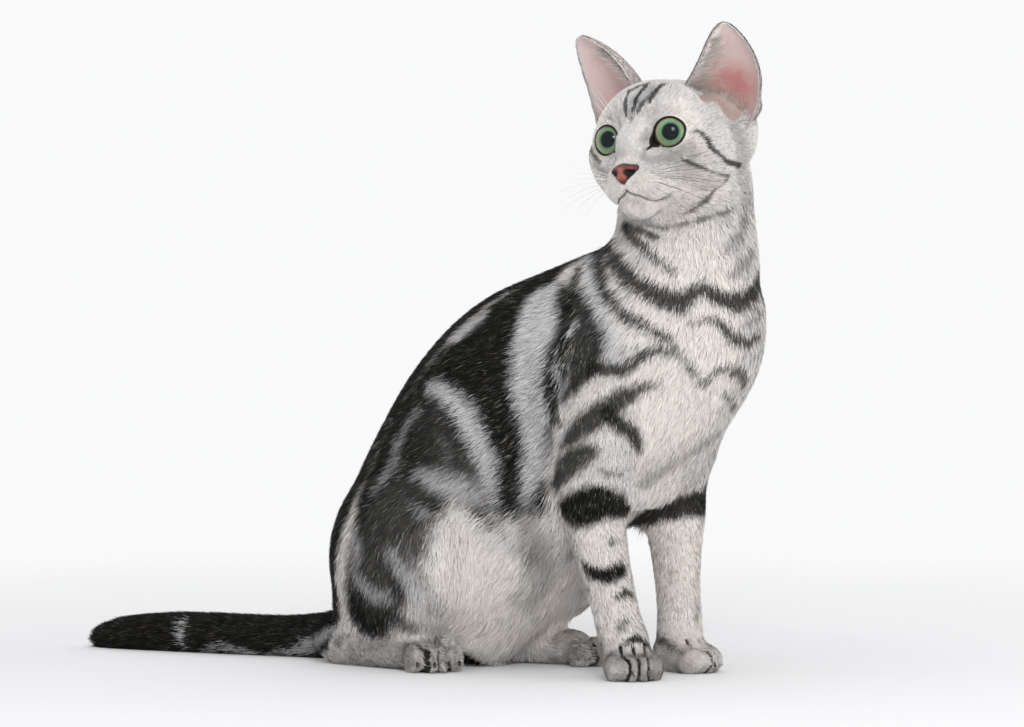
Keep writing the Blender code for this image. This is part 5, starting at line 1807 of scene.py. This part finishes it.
# Lids, lips, the seats of nose and ears and the gaps between toes are bare
bare = (eye_share < 1.08) | (lip_dark > 0.6) | on_pad | (ear_dip > 0.75) | (slit > 0.42)
coat_sizes[:, 2] *= ~bare
coat_sizes[:, 0] *= 1 - 0.5 * fade(0.02, 0.3, slit)
coat_sizes[:, 0] = np.where(on_toes, np.minimum(coat_sizes[:, 0], 2.4), coat_sizes[:, 0])
curve = blurred(curving(skin_points, skin_normals, lie), edges, 4)
print("lock lengths, mm", coat_sizes[:, 0].min().round(1), "to", coat_sizes[:, 0].max().round(1))

# %% Where the locks stand
rng = np.random.default_rng(7)
triangles = np.array([[f[0], f[k], f[k + 1]] for f in coat_faces for k in range(1, len(f) - 1)])
corners = skin_points[triangles]
areas = np.cross(corners[:, 1] - corners[:, 0], corners[:, 2] - corners[:, 0])
areas = np.linalg.norm(areas, axis=1) / 2
wanted = areas / MM**2 * coat_sizes[triangles, 2].min(1) * COAT_SHARE
ends = np.cumsum(wanted)
count = int(ends[-1])
home = np.searchsorted(ends, (np.arange(count) + rng.uniform(0, 1, count)))
home = np.minimum(home, len(triangles) - 1)
share = rng.uniform(0, 1, (2, count))
share = np.where(share.sum(0) > 1, 1 - share, share)
share = np.stack([1 - share.sum(0), share[0], share[1]], -1)


def at_roots(values):
    """Values of the skin's points, mixed for the place in its triangle where each lock stands."""
    picked = values[triangles[home]]
    return np.einsum("nk,nk...->n...", share, picked)


roots = at_roots(skin_points)
root_normals = unit(at_roots(skin_normals))
root_ways = at_roots(lie)
root_sizes = at_roots(coat_sizes)
root_lift = at_roots(depth)
root_curve = at_roots(curve)
root_part = part[triangles[home, 0]]
print("locks", count, "on", round(float(areas.sum() / MM**2 / 100)), "square cm")

# %% Their shapes
# How far along a lock each pair of points is, its share of the lift and of the width
LOCK_ROWS = [(0, -0.1, 0.8), (0.45, 0.72, 1.0), (1, 1.0, 0)]
# A lock takes the tone of the place that it covers, this far along it
SEEN_AT = 0.55


def blades(roots, normals, ways, sizes, lift, curve, wild=1.0):
    """Five points for each lock: a pair at the root, a pair at the bend and a tip. Each sits at
    root + way * length * t + normal * (lift * rise - curve * (length * t)**2 / 2)."""
    count = len(roots)
    stray = 0.16 * rng.normal(size=count)
    stray = stray + 0.22 * drift(roots, 9, 21) + 0.12 * drift(roots, 3.5, 22)
    stray = stray * wild
    side = unit(np.cross(normals, ways))
    way = unit(ways * np.cos(stray)[:, None] + side * np.sin(stray)[:, None])
    side = unit(np.cross(normals, way))
    roll = rng.normal(size=count) * 0.28
    side = side * np.cos(roll)[:, None] + normals * np.sin(roll)[:, None]
    length = sizes[:, 0] * MM * rng.uniform(0.7, 1.2, count)
    half = sizes[:, 1] * MM / 2 * rng.uniform(0.75, 1.25, count)
    lift = lift * rng.uniform(0.7, 1.05, count)
    rows = []
    for t, rise, wide in LOCK_ROWS:
        reach = length * t
        up = lift * rise - curve * reach**2 / 2
        middle = roots + way * reach[:, None] + normals * up[:, None]
        pair = (middle - side * (half * wide)[:, None], middle + side * (half * wide)[:, None])
        rows += pair if wide else (middle,)
    reach = SEEN_AT * length
    seen = roots + way * reach[:, None] - normals * (curve * reach**2 / 2)[:, None]
    points = np.stack(rows, 1)
    points[..., 2] = np.maximum(points[..., 2], 0.2)
    return points, seen


lock_points, seen_places = blades(roots, root_normals, root_ways, root_sizes, root_lift, root_curve)
on_head_skin = root_part == NAMES.index("head")
on_limb = np.isin(root_part, [k for k, name in enumerate(NAMES) if name.startswith(("fore", "hind"))])
on_chest = (root_part == NAMES.index("brisket")) | (roots[:, 2] > 225)
feather = np.where(on_head_skin, 0.35, np.where(on_limb, 0.9, np.where(on_chest, 1.2, 2.2)))[:, None]
lock_tones = markings(seen_places + feather * rng.normal(size=seen_places.shape))
ticked = (rng.uniform(size=count) < 0.10) & on_head_skin & (to_head(roots)[:, 1] < 42)
grizzled = np.maximum(lock_tones[:, 0], rng.uniform(0.2, 0.45, count))
lock_tones[:, 0] = np.where(ticked, grizzled, lock_tones[:, 0])
# Silver hairs stand among the dark ones and grey-tipped ones among the silver
odd = rng.uniform(size=count) + 0.05 * drift(roots, 14, 51)
silver_hair = ~on_head_skin & (root_part != NAMES.index("tail")) & (odd < 0.035) & (lock_tones[:, 0] > 0.6)
tipped_hair = ~on_head_skin & (odd > 0.88 + 0.1 * lock_tones[:, 1]) & (lock_tones[:, 0] < 0.4)
lock_tones[:, 0] -= silver_hair * rng.uniform(0.08, 0.35, count)
lock_tones[:, 0] += tipped_hair * rng.uniform(0.2, 0.55, count)
lock_chance = np.clip(0.5 + 0.24 * rng.normal(size=count) + 0.16 * drift(roots, 2.5, 31), 0, 1)
print("points", lock_points.shape)

# %% Locks as mesh pieces
BLADE = np.array([0, 1, 3, 0, 3, 2, 2, 3, 4])
ALONG = np.array([0, 0, 0.6, 0.6, 1.0])
PATCH = 0.003
PATCH_CORNERS = np.array([[-0.5, -0.5], [0.5, -0.5], [-0.5, 0], [0.5, 0], [0, 0.5]]) * PATCH


def unwrapped(points, line):
    """Each root's place on a sleeve round a middle line: how far along, and the turn about it.
    Both are ranked, so that the sleeve is filled evenly."""
    index = closest_row(points, line)
    along = unit(np.gradient(line[:, :3], axis=0))[index]
    level = abs(line[0, 2] - line[-1, 2]) < 60
    across = unit(np.cross(along, (0.3, 0.2, 1.0) if level else (0, 1.0, 0.1)))
    ahead = np.cross(along, across)
    offset = points - line[index, :3]
    turn = np.arctan2((offset * across).sum(1), (offset * ahead).sum(1))
    place = index + (offset * along).sum(1) / 10
    ranks = [np.argsort(np.argsort(v, kind="stable"), kind="stable") for v in (place, turn)]
    return 0.01 + 0.98 * np.stack(ranks, -1) / max(len(points) - 1, 1)


def locks_object(name, points, roots, tones, chance, paint, line):
    """One mesh of locks, five points each, with their stored values and their patches."""
    total = len(points)
    mesh = bpy.data.meshes.new(name)
    mesh.vertices.add(total * 5)
    mesh.vertices.foreach_set("co", to_row(points).astype(np.float32).ravel())
    mesh.loops.add(total * 9)
    loops = (np.arange(total)[:, None] * 5 + BLADE).ravel()
    mesh.loops.foreach_set("vertex_index", loops.astype(np.int32))
    mesh.polygons.add(total * 3)
    mesh.polygons.foreach_set("loop_start", np.arange(0, total * 9, 3, dtype=np.int32))
    mesh.update(calc_edges=True)
    mesh.shade_smooth()
    obj = bpy.data.objects.new(name, mesh)
    scene.collection.objects.link(obj)
    for key, values in zip(("dark", "white", "tan"), tones.T):
        set_values(obj, key, np.repeat(values, 5))
    set_values(obj, "chance", np.repeat(chance, 5))
    set_values(obj, "along", np.tile(ALONG, total))
    spots = unwrapped(roots, line)
    patches = (spots[:, None] + PATCH_CORNERS[BLADE % 5]).reshape(-1, 2)
    layer = mesh.uv_layers.new(name="OFBake")
    layer.data.foreach_set("uv", patches.astype(np.float32).ravel())
    mesh.materials.append(paint.material)
    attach(obj, "root")
    "coat_black" if name == "coat_tail" else "coat_silver"
    print(name, total * 3, "triangles")
    return obj


def coat_piece(name, chosen, line):
    """The locks of one part of the body, picked from all of them."""
    picked = np.flatnonzero(chosen)
    if len(picked):
        values = lock_points[picked], roots[picked], lock_tones[picked], lock_chance[picked]
        locks_object(name, *values, fur_on_locks, line)


fur_on_locks = fur_paint("fur_on_locks", True)
number = {name: i for i, name in enumerate(NAMES)}
on_trunk = np.isin(root_part, [number["trunk"], number["belly"]])
on_neck = on_trunk & (roots[:, 2] > 262)
on_rump = on_trunk & ~on_neck & (roots[:, 1] > 178)
on_flank = on_trunk & ~on_neck & ~on_rump
middle_x = np.interp(roots[:, 2], LINES["trunk"][:, 2], LINES["trunk"][:, 0])
left_half = roots[:, 0] > middle_x
root_head = to_head(roots)
in_face = root_head[:, 1] > 24
head_line = from_head(np.array([[0, y, -2.0] for y in range(-40, 60, 4)]))
on_head_part = root_part == number["head"]
coat_piece("coat_face", on_head_part & in_face, head_line)
coat_piece("coat_head", on_head_part & ~in_face, head_line)
coat_piece("coat_neck", on_neck, LINES["trunk"])
coat_piece("coat_chest", root_part == number["brisket"], LINES["brisket"])
coat_piece("coat_tail", root_part == number["tail"], LINES["tail"])
coat_piece("coat_rump", on_rump, LINES["trunk"])
for side, on_side in (("right", ~left_half), ("left", left_half)):
    coat_piece(f"coat_flank_{side}", on_flank & on_side, LINES["trunk"])
    for limb in ("haunch", "foreleg", "hindfoot"):
        limb_name = f"{limb}_{side}"
        coat_piece(f"coat_{limb_name}", root_part == number[limb_name], LINES[limb_name])
    coat_piece(f"coat_forepaw_{side}", root_part == number[f"forepaw_{side}"], LINES[f"foreleg_{side}"])

# %% [markdown]
# ## Hair of the ears
# The back of each ear is furred, long pale hairs fan out from its front margin, and short ones
# fringe the rim. They are locks as well, but they stand on the ear's own two sheets, so that they
# start exactly on the thin shell.

# %% Hair of the ears
FAN_HAIRS = {"left": 330, "right": 800}


def ear_hairs(side):
    """Roots, normals, ways and sizes of an ear's hairs, read from its two sheets by row and
    column: fur behind, a fringe along the rim, a fan from the inner front margin and a tuft at
    the foot."""
    outer, inner, inward = ear_sheets[side]
    up = unit(np.gradient(outer, axis=0))
    across = unit(np.gradient(outer, axis=1))
    groups = []

    def add(sheet, u, a, facing, way, size, lift):
        """Hairs at heights u and across a. way is their shares up, across and out of the sheet,
        and size their length and width in mm."""
        i = (u - EAR_START) / (1 - EAR_START) * (EAR_ROWS - 1)
        j = (np.arcsin(np.clip(a, -1, 1)) / math.pi * 2 + 1) / 2 * (EAR_COLUMNS - 1)
        i0, j0 = np.minimum(i.astype(int), EAR_ROWS - 2), np.minimum(j.astype(int), EAR_COLUMNS - 2)
        fi, fj = (i - i0)[:, None], (j - j0)[:, None]
        mix = [(i0, j0, (1 - fi) * (1 - fj)), (i0 + 1, j0, fi * (1 - fj)),
               (i0, j0 + 1, (1 - fi) * fj), (i0 + 1, j0 + 1, fi * fj)]
        root, normal, own_up, own_across = (
            sum(grid[p, q] * w for p, q, w in mix) for grid in (sheet, inward, up, across)
        )
        zero = np.zeros(len(u))
        way_up, way_across, way_out = ((share + zero)[:, None] for share in way)
        normal = unit(normal) * facing
        lean = unit(unit(own_up) * way_up + unit(own_across) * way_across + normal * way_out)
        length, width = size
        size = np.stack([length + zero, width + zero, 1 + zero], -1)
        groups.append((root, normal, lean, size, lift + zero))

    def draws(full, low, high):
        """How many hairs, and their heights."""
        n = full
        return n, rng.uniform(low, high, n)

    n, u = draws(9000, 0.05, 0.98)
    a = rng.uniform(-1, 1, n)
    add(outer, u, a, 1.0, (1, 0.25 * a, 0), (3.4 - 2.2 * u**4, 0.45), 0.9)
    n, u = draws(2600, 0.06, 0.95)
    a = np.sign(rng.uniform(-1, 1, n))
    a = a * rng.uniform(0.93, 1, n)
    add(inner, u, a, -1.0, (0.9, 0.3 * a, -0.1), (2.4 + 1.2 * (a < 0), 0.32), 0.35)
    n, u = draws(FAN_HAIRS[side], 0.04, 0.78)
    a = -rng.uniform(0.35, 0.97, n)
    sweep = 0.5 + 0.25 * rng.normal(size=n)
    add(inner, u, a, -1.0, (0.75 + 0.35 * u, sweep, 0.42), (14.0 - 6 * u, 0.30), 3.0)
    n, u = draws(260, 0.0, 0.16)
    a = rng.uniform(-0.6, 0.5, n)
    add(inner, u, a, -1.0, (0.9, 0.2 * rng.normal(size=n), 0.5), (8.0, 0.30), 1.5)
    return [np.concatenate(parts) for parts in zip(*groups)], [len(g[0]) for g in groups]


for side in ("left", "right"):
    (own_roots, own_normals, own_ways, own_sizes, own_lift), counts = ear_hairs(side)
    bent = np.zeros(len(own_roots))
    hair_points, _ = blades(own_roots, own_normals, own_ways, own_sizes, own_lift, bent, 0.7)
    kinds = np.repeat(np.arange(len(counts)), counts)
    outside = np.where(kinds == 0, 1.0, 0.0)
    speckle = 0.42 + 0.35 * drift(own_roots, 2.0, 41) + 0.2 * rng.normal(size=len(own_roots))
    speckle = np.clip(speckle, 0, 1)
    dark_share = np.where(kinds == 0, 0.42, np.where(kinds == 1, 0.10, 0.0)) * speckle
    white_share = np.where(kinds == 0, 0.55, np.where(kinds == 1, 0.7, 1.0))
    tones = np.stack([dark_share, white_share, 0.25 * outside], -1)
    chance = np.clip(0.5 + 0.25 * rng.normal(size=len(own_roots)), 0, 1)
    flip = 1 if side == "left" else MIRROR
    ear_line = from_head(np.linspace(EAR_ROOT, EAR_TIPS[side], 20) * flip)
    locks_object(f"coat_ear_{side}", hair_points, own_roots, tones, chance, fur_on_locks, ear_line)

# %% [markdown]
# ## Floor, light and camera
# A pale seamless floor fades out before the horizon, as paper does in a studio with white walls.
# A broad soft light hangs above, a small one beside the camera gives the catch lights in the
# eyes, and a broad one fills the shade on the cat's far side.

# %% Floor
FLOOR_RADIUS = 6.0
FLOOR_RINGS = np.array([0.02, 0.5, 1.0, 1.6, 2.4, 3.4, 4.6, FLOOR_RADIUS])
turns = np.linspace(0, 2 * math.pi, 96, endpoint=False)
rings = FLOOR_RINGS[:, None, None] * np.stack([np.cos(turns), np.sin(turns), 0 * turns], -1)[None]
floor_mesh = bpy.data.meshes.new("floor")
floor_faces = sheet_faces(len(FLOOR_RINGS), 96, wrap=True) + [list(range(95, -1, -1))]
floor_mesh.from_pydata(rings.reshape(-1, 3), [], floor_faces)
floor = bpy.data.objects.new("floor", floor_mesh)
scene.collection.objects.link(floor)
paper = Paint("floor_paper", Roughness=0.9, Specular_IOR_Level=0.1)
x, y = (paper.node("SeparateXYZ", {}, {0: paper.place()}, k) for k in (0, 1))
away = (x * x + y * y) ** 0.5
clear = ((away - 0.35) / 0.9).clamped() ** 0.7
paper.put("Base Color", paper.shaded((0.76, 0.757, 0.765), 0.985 + 0.03 * paper.grain(0.3)))
paper.put("Alpha", 1 - clear)
floor_mesh.materials.append(paper.material)
print("floor radius, m", FLOOR_RADIUS)

# %% Light


def softbox(name, place, target, size, power, colour=(1, 1, 1)):
    """A square area light that faces a target. Places are in metres."""
    data = bpy.data.lights.new(name, "AREA")
    data.shape, data.size, data.energy, data.color = "SQUARE", size, power, colour
    light = bpy.data.objects.new(name, data)
    light.location = place
    way = Vector(target) - light.location
    light.rotation_euler = way.to_track_quat("-Z", "Y").to_euler()
    scene.collection.objects.link(light)
    return light


world = bpy.data.worlds.new("studio")
scene.world = world
world.use_nodes = True
walls = world.node_tree.nodes["Background"].inputs
walls["Color"].default_value = (0.975, 0.98, 0.985, 1)
walls["Strength"].default_value = 0.97
TARGET = (0.0, 0.0, 0.2)
LAMP_AWAY, LAMP_ASIDE, LAMP_ABOVE = 1.7, math.radians(4), math.radians(20)
softbox("top_light", (-0.6, -0.6, 2.6), TARGET, 2.2, 4)
lamp_way = -VIEW_WAY * math.cos(LAMP_ASIDE) + RIGHT_WAY * math.sin(LAMP_ASIDE)
lamp_way = lamp_way * math.cos(LAMP_ABOVE) + np.array([0, 0, math.sin(LAMP_ABOVE)])
head_place = to_row(HEAD_CENTRE)
lamp_place = head_place + lamp_way * LAMP_AWAY
softbox("window_light", lamp_place, head_place, 0.45, 13, (0.95, 0.98, 1.0))
side_place = head_place * 0.6 + RIGHT_WAY * LAMP_AWAY - VIEW_WAY * 0.3
softbox("side_light", side_place, TARGET, 1.2, 8)
scene.view_settings.view_transform = "Standard"

# %% Camera
camera_data = bpy.data.cameras.new("camera")
camera_data.sensor_width = 36
camera_data.lens = FOCAL_PIXELS / PHOTO_SIZE[0] * camera_data.sensor_width
camera = bpy.data.objects.new("camera", camera_data)
camera.location = to_row(CAMERA_PLACE)
camera.rotation_euler = Vector(VIEW_WAY).to_track_quat("-Z", "Y").to_euler()
scene.collection.objects.link(camera)
scene.camera = camera
print("camera at, m", [round(v, 4) for v in camera.location])
